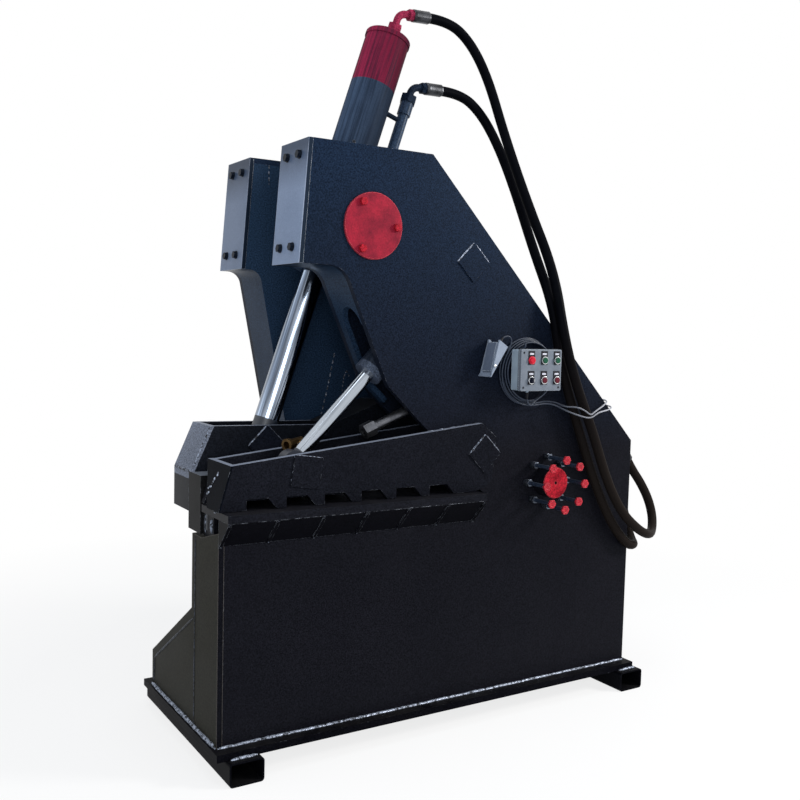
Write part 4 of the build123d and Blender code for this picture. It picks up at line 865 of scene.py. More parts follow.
class Finishes:
    """The machine's finishes, made once each."""

    # The blue-black that these plates drift to higher up is a painted reflection of the sky.
    BLACK_PAINT = Paint("black_gloss_paint", BLACK, BLACK_CLOUD, high_reflection_colour=SKY_SHEEN_BLUE_BLACK, dust=0.05)
    # Same painted reflection of the sky from 1 m up.
    NEAR_PLATE_PAINT = Paint(
        "black_paint_near_plate", BLACK, BLACK_CLOUD, high_reflection_colour=SKY_SHEEN_BLUE_BLACK, high_from=1.0, dust=0.04,
        ior=1.18, wear_and_highlight=0.34, wear_and_highlight_width=0.002,
    )
    # The throat and far plate take lighter, bluer copies of the black paint: painted light and painted sky
    # reflection on faces that lie in shade.
    THROAT_PAINT = Paint("black_paint_throat", tone(35, 51, 71), tone(28, 42, 60), dust=0.03)
    FAR_PLATE_PAINT = Paint(
        "black_paint_far_plate", tone(34, 50, 70), tone(28, 43, 61), high_reflection_colour=tone(33, 50, 70),
        high_from=1.45, high_to=1.8,
    )
    # The gussets under the ledge take a darker copy of the black paint: painted shade.
    LEDGE_PAINT = Paint(
        "black_paint_ledge", tone(7, 7, 11), tone(10, 10, 15), ior=1.15, wear_and_highlight=0.42, wear_and_highlight_width=0.002,
    )
    FLOOR_SIDE_PAINT = Paint(
        "black_paint_road_dust", COLUMN_OLIVE, tone(31, 30, 23), ior=1.15, dust=0.16, wear_and_highlight=0.62,
        wear_and_highlight_width=0.004, wear_and_highlight_colour=tone(84, 80, 77), wear_metal=0.0,
        split=Split(spot(0.0, 0.0, 0.0), NEAR, reach=-0.0006, waver=0.0, soft=0.0003), other=BLACK,
    )
    BASE_PAINT = Paint("black_paint_base", tone(6, 6, 10), tone(8, 8, 13), ior=1.12, dust=0.07)
    # The covers are black paint: their pale grey-blue face, darker at the top, is a painted reflection of the
    # sky, the tone past the split is the paint itself, and the darkening towards the far cover is painted
    # shade.
    COVER_PAINT = Paint(
        "black_paint_covers", tone(130, 144, 169), tone(117, 131, 155), roughness=0.34, shine=0.3, grain=0.1,
        dust=0.0, wear_and_highlight=0.5, wear_and_highlight_width=0.0018, wear_and_highlight_colour=tone(176, 184, 196),
        high_reflection_colour=tone(58, 71, 92), high_from=1.92, high_to=2.06,
        split=Split(spot(264.0, 0.0, 1674.0), COVER_BACK, reach=0.002, waver=0.0), other=tone(23, 33, 47),
        shaded_side=Split(spot(0.0, 380.0, 0.0), FAR, soft=0.05), side_shade=0.3,
    )
    # Past the split the slanted front plate takes a darker paint than the arm: painted shade; the upward
    # faces get the painted highlight.
    PRESSER_PAINT = Paint(
        "black_paint_hold_down", tone(17, 18, 23), tone(22, 23, 29), roughness=0.42, ior=1.12, wear_and_highlight=0.34,
        peel=0.08, top_highlight_colour=TOP_HIGHLIGHT,
        split=Split(spot(-12.0, 0.0, 879.0), PRESSER_FRONT_OUT, reach=-0.006), other=tone(7, 10, 17),
    )
    # Past the split the jaw's slanted front plate is light grey-blue: a painted reflection of the sky on its
    # black paint; the upward faces get the painted highlight.
    JAW_PAINT = Paint(
        "black_paint_jaw", tone(15, 17, 22), tone(20, 22, 28), roughness=0.4, wear_and_highlight=0.36, peel=0.08,
        top_highlight_colour=TOP_HIGHLIGHT, top_from=1.05,
        split=Split(spot(7.0, 0.0, 970.0), JAW_FRONT_OUT, reach=-0.012), other=tone(112, 118, 132),
    )
    # The beam's top takes a painted highlight.
    BEAM_PAINT = Paint(
        "black_paint_beam", tone(15, 15, 17), tone(20, 19, 19), roughness=0.45, wear_and_highlight=0.34, peel=0.08,
        top_highlight_colour=tone(96, 100, 108), top_from=0.96,
    )
    # The side tube is black paint; its slate blue is a painted sheen of the sky, with painted reflection
    # streaks.
    SHEEN_TUBE_PAINT = Paint(
        "black_paint_with_painted_sheen", tone(50, 65, 86), tone(38, 51, 70), roughness=0.34, shine=0.3, dust=0.0,
        streaks=0.6, along=CYLINDER_UP,
    )
    # Below its red head the barrel is black paint; its slate blue is a painted sheen of the sky, with painted
    # reflection streaks and painted shade on its rear side.
    CYLINDER_PAINT = Paint(
        "cylinder_two_colour_paint", tone(70, 86, 109), tone(52, 66, 87), roughness=0.4, shine=0.1,
        ior=1.12, grain=0.1, dust=0.0, streaks=0.6, along=CYLINDER_UP,
        split=Split(TRUNNION, CYLINDER_UP, reach=RED_HEAD_START), other=WINE_RED,
        shaded_side=Split(TRUNNION, CYLINDER_REAR, reach=0.02, soft=0.075), side_shade=0.84,
    )
    ELBOW_PAINT = Paint(
        "elbow_two_colour_paint", tone(20, 30, 45), tone(16, 25, 38), roughness=0.45, shine=0.12, dust=0.0,
        split=Split(TRUNNION, CYLINDER_UP, reach=RED_ELBOW_START), other=darker(WINE_RED, 0.8),
    )
    PRESSER_BARREL_PAINT = Paint(
        "presser_barrel_paint", tone(20, 26, 36), tone(26, 32, 44), roughness=0.32, shine=0.5, dust=0.0,
        split=Split(PRESSER_BASE_PIN, PRESSER_DOWN, reach=0.538), other=tone(72, 80, 96),
    )
    RED_PAINT = Paint(
        "red_brushed_paint", tone(146, 28, 47), tone(106, 18, 37), roughness=0.46, shine=0.25, grain=0.16,
        blotch=7.0, shine_tint=WHITE, peel=0.2, wear_and_highlight=0.55, wear_and_highlight_colour=PALE_RED, wear_metal=0.0, dust=0.0,
    )
    SHAFT_PAINT = Paint(
        "shaft_end_paint", BLACK, BLACK_CLOUD, roughness=0.5, shine=0.2, peel=0.14, blotch=7.0, wear_and_highlight=0.5,
        wear_and_highlight_colour=PALE_RED, wear_metal=0.0, dust=0.0,
        split=Split(spot(1340.0, -63.0, 893.0), NEAR), other=RED,
    )
    ADJUSTER_PAINT = Paint(
        "adjuster_paint", tone(30, 37, 50), tone(40, 48, 62), roughness=0.3, shine=0.7, wear_and_highlight=0.6,
        wear_and_highlight_width=0.0016, wear_and_highlight_colour=PALE_RED, wear_metal=0.0,
        split=Split(spot(1340.0, -118.0, 893.0), NEAR), other=tone(166, 24, 40),
    )
    LOCK_NUT_STEEL = BareMetal(
        "lock_nut_steel", tone(120, 128, 142), tone(22, 24, 30), roughness=0.3, stain=0.7,
    )
    COVER_BOLT_PAINT = Paint(
        "cover_bolt_paint", tone(14, 20, 30), tone(20, 26, 36), roughness=0.4, shine=0.25, wear_and_highlight=0.2,
        wear_and_highlight_width=0.001, split=Split(TRUNNION, FAR, reach=0.35, both_ways=True), other=RED,
    )
    WELD = WeldMetal("weld_dull", tone(122, 130, 146), tone(20, 22, 28), crests=0.45)
    BARE_WELD = WeldMetal("weld_bright", tone(150, 158, 174), tone(26, 29, 36), crests=0.62)
    FAINT_WELD = WeldMetal(
        "weld_painted_over", tone(58, 64, 76), tone(14, 16, 20), crests=0.4, roughness=0.45,
    )
    # The dark stripes along both rods are a painted reflection of the dark frame.
    MAIN_CHROME = BareMetal(
        "main_rod_chrome", tone(156, 167, 183), tone(84, 94, 110), roughness=0.12, along=CYLINDER_UP,
        stain=0.2, reflection_bands=0.75, split=Split(TRUNNION, CYLINDER_DOWN, reach=0.716), other=tone(30, 36, 46),
    )
    PRESSER_CHROME = BareMetal(
        "presser_rod_chrome", tone(176, 184, 194), tone(104, 108, 114), roughness=0.14, along=PRESSER_UP,
        stain=0.2, reflection_bands=0.6, split=Split(PRESSER_PIN, PRESSER_DOWN, reach=-0.047), other=tone(34, 38, 48),
    )
    BOLT_ZINC = BareMetal("bolt_zinc", tone(204, 207, 210), tone(120, 122, 126), roughness=0.2, stain=0.2)
    PIPE_STEEL = BareMetal("pipe_steel", tone(94, 96, 102), tone(34, 34, 36), roughness=0.34, stain=0.7)
    DARK_STEEL = BareMetal("dark_oiled_steel", tone(44, 47, 53), tone(26, 25, 25), roughness=0.4)
    BLADE_STEEL = BareMetal(
        "ground_blade_steel", tone(118, 122, 128), tone(62, 60, 58), roughness=0.3, along=REAR,
    )
    FERRULE = BareMetal(
        "crimped_ferrule_zinc", tone(74, 76, 80), tone(14, 14, 17), roughness=0.28, stain=0.8,
    )
    BRONZE = BareMetal("bearing_bronze", tone(150, 112, 62), tone(92, 64, 38), roughness=0.36)
    YELLOW_ZINC = BareMetal(
        "yellow_zinc_union", tone(110, 88, 57), tone(50, 38, 27), roughness=0.34, stain=0.75,
    )
    # Below the split the hose turns brown: painted sunlight on its lower loops.
    HOSE = Moulded(
        "hose_rubber", tone(4, 5, 9), tone(9, 10, 14), roughness=0.45, shine=0.07, grain=520.0, depth=0.1,
        ior=1.18, dust=0.015, split=Split(spot(1500.0, 0.0, 1230.0), DOWN, soft=0.3), other=tone(27, 23, 21),
    )
    # Past the split the cable turns pale grey: painted light and shade along the one cable.
    CABLE = Moulded(
        "cable_sheath", tone(33, 41, 55), tone(47, 55, 69), roughness=0.42, shine=0.25, grain=1400.0,
        depth=0.05, split=Split(spot(1480.0, -100.0, 1150.0), REAR, soft=0.16), other=tone(150, 152, 160),
    )
    # The light rims of the lid are a painted highlight.
    ENCLOSURE = Moulded(
        "grey_enclosure", tone(94, 101, 111), tone(104, 111, 121), roughness=0.4, shine=0.2, grain=1500.0,
        depth=0.06, dust=0.08, edge=0.9, edge_width=0.0045,
    )
    # The box is one grey enamel; its sides take a lighter grey than the lid: painted light.
    ENCLOSURE_SIDE = Moulded(
        "grey_enclosure_box", tone(150, 164, 176), tone(138, 152, 166), roughness=0.4, shine=0.3,
        grain=1500.0, depth=0.06, dust=0.0, edge=0.5,
    )
    GASKET = Moulded("enclosure_gasket", tone(70, 76, 84), tone(82, 88, 96), roughness=0.6, shine=0.15)
    LEGEND = Moulded(
        "legend_black", tone(10, 11, 18), tone(16, 17, 24), roughness=0.4, shine=0.15, grain=1600.0,
        depth=0.04, dust=0.0,
    )
    LABEL = Moulded(
        "blank_label", tone(176, 176, 188), tone(190, 190, 200), roughness=0.5, grain=1800.0, depth=0.03,
        dust=0.0,
    )
    BEZEL = BareMetal(
        "bezel_chrome", tone(214, 217, 220), tone(150, 152, 156), roughness=0.18, stain=0.12,
        split=Split(spot(1190.9, -110.0, 1365.5), TO_RED_BUTTON), other=tone(196, 20, 48),
    )
    RED_BUTTON = Moulded(
        "button_red", tone(180, 14, 40), tone(164, 11, 34), roughness=0.3, shine=0.25, depth=0.02, dust=0.0,
    )
    GREEN_BUTTON = Moulded(
        "button_green", tone(4, 74, 51), tone(3, 62, 43), roughness=0.3, shine=0.2, depth=0.02, dust=0.0,
    )
    DARK_BUTTON = Moulded(
        "button_dark_red", tone(86, 12, 29), tone(70, 9, 24), roughness=0.3, shine=0.2, depth=0.02, dust=0.0,
    )
    SELECTOR = Moulded(
        "selector_black", tone(14, 18, 32), tone(22, 26, 40), roughness=0.36, shine=0.2, depth=0.04, dust=0.0,
    )
    PEDAL = Moulded(
        "pedal_hammered_grey", tone(116, 126, 142), tone(128, 138, 154), roughness=0.42, shine=0.25,
        grain=420.0, depth=0.2, dust=0.05,
    )
    TREAD = Moulded(
        "pedal_tread_grey", tone(84, 94, 112), tone(96, 106, 124), roughness=0.5, shine=0.2, grain=240.0,
        depth=0.7, dust=0.0, edge=0.5,
    )

    def __init__(self) -> None:
        """Starts with no material made."""
        self.effects = Effects()
        self.made: dict[str, bpy.types.Material] = {}

    def material(self, finish: Finish) -> bpy.types.Material:
        """Gives a finish's material, made at its first use.

        Args:
            finish: One of the finishes above.

        Returns:
            Its material.
        """
        if finish.name not in self.made:
            self.made[finish.name] = finish.build(self.effects)
        return self.made[finish.name]


def side_directions(axis: Vector) -> tuple[Vector, Vector]:
    """Gives two directions square to an axis and to each other.

    Args:
        axis: Any direction.

    Returns:
        The two unit directions.
    """
    helper = Vector(UP) if abs(axis.normalized().z) < 0.9 else Vector(REAR)
    first = axis.cross(helper).normalized()
    return first, axis.cross(first).normalized()


def loft(mesh: bmesh.types.BMesh, rings: Sequence[Sequence[Vector]]) -> None:
    """Joins rings of points into one closed skin with flat ends.

    Args:
        mesh: The mesh to add to.
        rings: Rings of equal count, in order.
    """
    made = [[mesh.verts.new(point) for point in ring] for ring in rings]
    for before, after in zip(made, made[1:]):
        for i, corner in enumerate(before):
            j = (i + 1) % len(before)
            mesh.faces.new((corner, before[j], after[j], after[i]))
    mesh.faces.new(list(reversed(made[0])))
    mesh.faces.new(made[-1])


def turned(
    mesh: bmesh.types.BMesh,
    foot: Vector,
    axis: Vector,
    profile: Sequence[tuple[float, float]],
    sides: int = 24,
    flutes: int = 0,
    flute_depth: float = 0.0,
) -> None:
    """Adds a piece turned on a lathe.

    Args:
        mesh: The mesh to add to.
        foot: The point at height 0 on the axis.
        axis: The way that heights go.
        profile: Height and radius pairs, from one end to the other.
        sides: Points round each ring.
        flutes: Dents round the piece.
        flute_depth: Depth of the dents.
    """
    up = axis.normalized()
    first, second = side_directions(up)
    rings = []
    for height, radius in profile:
        ring = []
        for i in range(sides):
            angle = 2 * math.pi * i / sides
            dent = flute_depth * (0.5 + 0.5 * math.cos(flutes * angle)) if flutes else 0.0
            spoke = math.cos(angle) * first + math.sin(angle) * second
            ring.append(foot + up * height + spoke * max(radius - dent, LEAST_RADIUS))
        rings.append(ring)
    loft(mesh, rings)


def slab(
    mesh: bmesh.types.BMesh, corner: Vector, right: Vector, up: Vector, thick: Vector, rounding: float
) -> None:
    """Adds a plate with rounded corners.

    Args:
        mesh: The mesh to add to.
        corner: One corner of its back face.
        right: Its first side.
        up: Its second side.
        thick: From its back face to its front.
        rounding: Radius of its corners.
    """
    ring = []
    across, along = right.normalized() * rounding, up.normalized() * rounding
    corners = ((0, 0, 180), (1, 0, 270), (1, 1, 0), (0, 1, 90))
    for i, j, first in corners:
        middle = corner + right * i + up * j + across * (1 - 2 * i) + along * (1 - 2 * j)
        for step in range(CORNER_STEPS + 1):
            angle = math.radians(first + 90 / CORNER_STEPS * step)
            ring.append(middle + across * math.cos(angle) + along * math.sin(angle))
    centre = corner + (right + up) / 2
    inset = [point + (centre - point).normalized() * thick.length * SLAB_BEVEL for point in ring]
    loft(mesh, [ring, [p + thick * (1 - SLAB_BEVEL) for p in ring], [p + thick for p in inset]])


def boot(mesh: bmesh.types.BMesh, foot: Vector, axis: Vector) -> None:
    """Adds the tapered boot that guards a cable where it leaves a gland."""
    turned(mesh, foot, axis, BOOT_PROFILE, sides=20)


@dataclass(frozen=True)
class WeldSeam:
    """One run of weld.

    Attributes:
        points: The corner line that it fills.
        out: The way that its crown faces.
        size: Its half width.
        ripple: Length of each ripple.
        stitch: Length of each stitch; 0 is an unbroken run.
        space: Bare length between stitches.
    """

    points: tuple[Vector, ...]
    out: Triple
    size: float = 0.008
    ripple: float = 0.0065
    stitch: float = 0.0
    space: float = 0.02

    def runs(self) -> list[tuple[Vector, Vector]]:
        """Divides the seam into unbroken stretches.

        Returns:
            The start and end of each stretch.
        """
        found = []
        for start, end in zip(self.points, self.points[1:]):
            length = (end - start).length
            if not self.stitch:
                found.append((start, end))
                continue
            reach = 0.0
            while reach < length:
                stop = min(reach + self.stitch, length)
                found.append((start.lerp(end, reach / length), start.lerp(end, stop / length)))
                reach = stop + self.space
        return found

    def add_to(self, mesh: bmesh.types.BMesh, chance: random.Random) -> None:
        """Adds the bead's skin to a mesh.

        Args:
            mesh: The mesh to add to.
            chance: The source of its unevenness.
        """
        for start, end in self.runs():
            along = (end - start).normalized()
            crown = Vector(self.out)
            crown = (crown - along * crown.dot(along)).normalized()
            side = along.cross(crown)
            steps = max(6, round((end - start).length / self.ripple * RIPPLE_STEPS))
            rings = []
            drift, swell = 0.0, 1.0
            for step in range(steps + 1):
                drift += chance.uniform(-0.06, 0.06) - 0.08 * drift
                swell += chance.uniform(-0.05, 0.05) - 0.12 * (swell - 1.0)
                near_end = min(step, steps - step) / RIPPLE_STEPS
                taper = min(1.0, 0.45 + 0.25 * near_end)
                middle = start.lerp(end, step / steps) + side * (drift * self.size)
                ring = []
                for angle in BEAD_ANGLES:
                    phase = step / RIPPLE_STEPS - 0.55 * math.sin(angle) ** 2
                    scale = 0.80 + 0.30 * (1 - (phase - math.floor(phase)))
                    radius = self.size * scale * swell * taper
                    height, reach = radius * 0.8 * math.cos(angle), radius * math.sin(angle)
                    ring.append(middle + crown * height + side * reach)
                rings.append(ring)
            loft(mesh, rings)


def seam(points_mm: Sequence[Triple], out: Triple, *sizes: float) -> WeldSeam:
    """Gives a weld along shop places, with its size, ripple, stitch and space in that order."""
    return WeldSeam(tuple(place(*point) for point in points_mm), out, *sizes)


@dataclass(frozen=True)
class CordRun:
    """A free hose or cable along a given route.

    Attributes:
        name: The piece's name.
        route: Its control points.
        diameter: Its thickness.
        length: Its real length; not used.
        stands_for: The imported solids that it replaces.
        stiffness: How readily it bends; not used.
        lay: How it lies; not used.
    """

    name: str
    route: tuple[Vector, ...]
    diameter: float
    length: float
    stands_for: tuple[str, ...]
    stiffness: Stiffness = Stiffness.MEDIUM
    lay: Lay = Lay.HANGING

    def curve(self) -> bpy.types.Object:
        """Makes the smooth line of the route, with no thickness yet.

        Returns:
            The line.
        """
        data = bpy.data.curves.new(self.name, "CURVE")
        data.dimensions = "3D"
        spline = data.splines.new("NURBS")
        spline.points.add(len(self.route) - 1)
        for point, place_on_route in zip(spline.points, self.route):
            point.co = (*place_on_route, 1.0)
        spline.order_u = 3
        spline.use_endpoint_u = True
        data.resolution_u = 10
        piece = bpy.data.objects.new(self.name, data)
        bpy.context.scene.collection.objects.link(piece)
        return piece

    def thicken(self, piece: bpy.types.Object) -> None:
        """Gives the line its round section.

        Args:
            piece: The curve to thicken.
        """
        piece.data.bevel_depth = self.diameter / 2
        piece.data.bevel_resolution = 5
        piece.data.use_fill_caps = True

    def as_curve(self) -> bpy.types.Object:
        """Makes the cord as a curve that rides on one body.

        Returns:
            The cord.
        """
        piece = self.curve()
        self.thicken(piece)
        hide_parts(*self.stands_for)
        return piece

    def as_tube(self) -> bpy.types.Object:
        """Makes the cord as a mesh tube.

        Returns:
            The cord.
        """
        line = self.curve()
        path = [vertex.co.copy() for vertex in bpy.data.meshes.new_from_object(line).vertices]
        self.thicken(line)
        skin = bpy.data.meshes.new_from_object(line)
        bpy.data.objects.remove(line)
        piece = bpy.data.objects.new(self.name, skin)
        piece.name = self.name
        bpy.context.scene.collection.objects.link(piece)
        skin.shade_smooth()
        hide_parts(*self.stands_for)
        return piece


@dataclass
class Assembly:
    """What every sub-assembly has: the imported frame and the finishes.

    Attributes:
        finishes: The machine's finishes.
    """

    frame: dict
    finishes: Finishes

    def dress(self, finish: Finish, *nodes: str) -> None:
        """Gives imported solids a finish.

        Args:
            finish: The finish.
            nodes: Their node names.
        """
        material = self.finishes.material(finish)
        for node in nodes:
            slots = self.frame["nodes"][node].data.materials
            slots.clear()
            slots.append(material)
            log.info("dressed %s in %s", node, finish.name)

    def piece(self, name: str, mesh: bmesh.types.BMesh, finish: Finish, body: Body, slot: Slot) -> None:
        """Makes a new piece that rides on a body.

        Args:
            name: The piece's name.
            mesh: Its shape.
            finish: Its finish.
            body: The body that carries it.
            slot: The record's slot of its finish; not used.
        """
        bmesh.ops.recalc_face_normals(mesh, faces=mesh.faces)
        data = bpy.data.meshes.new(name)
        mesh.to_mesh(data)
        mesh.free()
        data.shade_smooth()
        data.set_sharp_from_angle(angle=SHARP_ANGLE)
        data.materials.append(self.finishes.material(finish))
        made = bpy.data.objects.new(name, data)
        bpy.context.scene.collection.objects.link(made)
        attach(made, body.value)
        log.info("added %s with %d faces", name, len(data.polygons))

    def welds(self, name: str, seams: Sequence[WeldSeam], finish: Finish, body: Body, seed: int) -> None:
        """Lays a set of weld seams as one piece.

        Args:
            name: The piece's name.
            seams: The seams.
            finish: Their finish.
            body: The body that they are on.
            seed: Number that fixes their unevenness.
        """
        mesh = bmesh.new()
        chance = random.Random(seed)
        for bead in seams:
            bead.add_to(mesh, chance)
        self.piece(name, mesh, finish, body, Slot.BLACK_PAINT)

    def lay_cable(self, run: CordRun, boots_name: str) -> None:
        """Lays a cable that stays on the frame, with a boot at each end.

        Args:
            run: The cable.
            boots_name: The name of the piece with both boots.
        """
        route = run.route
        piece = run.as_curve()
        piece.data.materials.append(self.finishes.material(Finishes.CABLE))
        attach(piece, Body.FRAME.value)
        log.info("laid %s along %d points", run.name, len(route))
        boots = bmesh.new()
        boot(boots, route[0], route[1] - route[0])
        boot(boots, route[-1], route[-2] - route[-1])
        self.piece(boots_name, boots, Finishes.LEGEND, Body.FRAME, Slot.CABLE_RUBBER)


@dataclass
class FrameWeldment(Assembly):
    """The two box arms, the base and the feed table.

    Attributes:
        deck_mm: Height of the base flange's upper face.
        length_mm: Length of the side plates.
        width_mm: Width over the two outer plates.
        column_mm: Y of the far edge of the front column.
        far_foot_mm: X where the far plate's foot starts.
        flange_edges_mm: Y of the flange's near and far edges.
        skids_mm: X of the front of each skid.
        skid_top_mm: Height of the skids.
        ledge_mm: Length of the ledge.
        gussets: Gussets below the ledge.
        nipple_mm: Place of the grease nipple on the near arm.
    """

    deck_mm: float = 105.0
    length_mm: float = 1800.0
    width_mm: float = 688.0
    column_mm: float = 661.0
    far_foot_mm: float = 1045.0
    flange_edges_mm: tuple[float, float] = (-46.0, 717.0)
    skids_mm: tuple[float, float] = (18.0, 1724.0)
    skid_top_mm: float = 80.0
    ledge_mm: float = 988.0
    gussets: int = 7
    nipple_mm: Triple = (466.0, 12.0, 2080.0)

    def build(self) -> None:
        """Dresses the plates and adds their welds."""
        self.dress(Finishes.NEAR_PLATE_PAINT, "near_outer_plate")
        self.dress(Finishes.FAR_PLATE_PAINT, "far_inner_plate")
        self.dress(
            Finishes.BLACK_PAINT, "near_inner_plate", "far_outer_plate", "spine_plate", "feed_table",
            "lower_blade_seat",
        )
        self.dress(Finishes.THROAT_PAINT, "throat_plates")
        self.dress(Finishes.FLOOR_SIDE_PAINT, "discharge_chute")
        self.dress(Finishes.BASE_PAINT, "base_plate", "base_skids")
        self.dress(Finishes.LEDGE_PAINT, "ledge_gussets")
        self.dress(Finishes.COVER_PAINT, "front_covers")
        self.dress(Finishes.COVER_BOLT_PAINT, "cover_bolts")
        self.dress(Finishes.RED_PAINT, "trunnion_covers")
        self.dress(Finishes.BLADE_STEEL, "lower_blade")
        self.dress(Finishes.DARK_STEEL, "lower_blade_bolts")
        self.dress(Finishes.PIPE_STEEL, "throat_pipe_stub")
        self.dress(Finishes.BRONZE, "trunnion_bushes", "thrust_ring")
        self.base_welds()
        self.plate_welds()
        self.grease_nipple()

    def base_welds(self) -> None:
        """Lays the heavy fillets round the foot of the plates and on the skids."""
        deck, long, wide = self.deck_mm, self.length_mm, self.width_mm
        column, foot, top = self.column_mm, self.far_foot_mm, self.skid_top_mm
        up_near, up_front = (0.0, -0.7, 0.7), (-0.7, 0.0, 0.7)
        up_far, up_rear = (0.0, 0.7, 0.7), (0.7, 0.0, 0.7)
        seams = [
            seam(((4, 0, deck), (long, 0, deck)), up_near, 0.0075),
            seam(((0, 2, deck), (0, column, deck)), up_front, 0.0105, 0.012),
            seam(((foot, wide, deck), (long, wide, deck)), up_far, 0.0075),
            seam(((20, column, deck), (foot, column, deck)), up_far, 0.009),
            seam(((long, 0, deck), (long, wide, deck)), up_rear, 0.009),
        ]
        for skid in self.skids_mm:
            for edge, out in zip(self.flange_edges_mm, (up_near, up_far)):
                seams.append(seam(((skid + 14, edge, top), (skid + 106, edge, top)), out, 0.008))
        self.welds("base_weld_beads", seams, Finishes.BARE_WELD, Body.FRAME, seed=11)

    def plate_welds(self) -> None:
        """Lays the finer seams on the arms, the throat, the front and the ledge."""
        throat = ((658, 480, 1368), (626, 480, 1214), (605, 480, 1130))
        hook = ((695, 480, 1218), (702, 480, 1276), (714, 480, 1300), (727, 480, 1271))
        seams = [
            seam(throat, NEAR, 0.0045, 0.006, 0.016, 0.010),
            seam(((369, 480, 2060), (370, 480, 1989)), NEAR, 0.004, 0.006, 0.014, 0.008),
            seam(hook, NEAR, 0.004, 0.006, 0.010, 0.006),
            seam(((20, 110, 832), (20, 110, 785)), FRONT, 0.011, 0.012),
            seam(((20, 167, 837), (20, 167, 777)), FRONT, 0.004, 0.008),
            seam(((6, 132, 858), (6, 86, 858)), FRONT, 0.006, 0.011, 0.018, 0.006),
            seam(((0, 40, 868), (0, 26, 870)), FRONT, 0.004, 0.008),
        ]
        for i in range(self.gussets):
            x = i * self.ledge_mm / (self.gussets - 1) + 6
            seams.append(seam(((x, -2, 762), (x, -6, 766)), (0.0, -0.6, -0.6), 0.003))
            seams.append(seam(((x, -77, 847), (x, -80, 849)), (0.0, -0.8, -0.4), 0.003))
        self.welds("plate_weld_beads", seams, Finishes.WELD, Body.FRAME, seed=12)
        painted = [
            seam(((0, 208, 108), (0, 208, 760)), FRONT, 0.0026, 0.012),
            seam(((0, 222, 476), (0, 634, 214), (0, 640, 120)), FRONT, 0.004, 0.014),
        ]
        self.welds("painted_seams", painted, Finishes.FAINT_WELD, Body.FRAME, seed=13)

    def grease_nipple(self) -> None:
        """Adds the grease nipple on the near arm's upper edge."""
        mesh = bmesh.new()
        profile = (
            (-0.002, 0.007), (0.003, 0.007), (0.004, 0.0045), (0.006, 0.004), (0.008, 0.0055),
            (0.011, 0.0045), (0.012, 0.002),
        )
        turned(mesh, place(*self.nipple_mm), Vector(UP), profile, sides=16)
        self.piece("grease_nipple", mesh, Finishes.DARK_STEEL, Body.FRAME, Slot.PLAIN_STEEL)


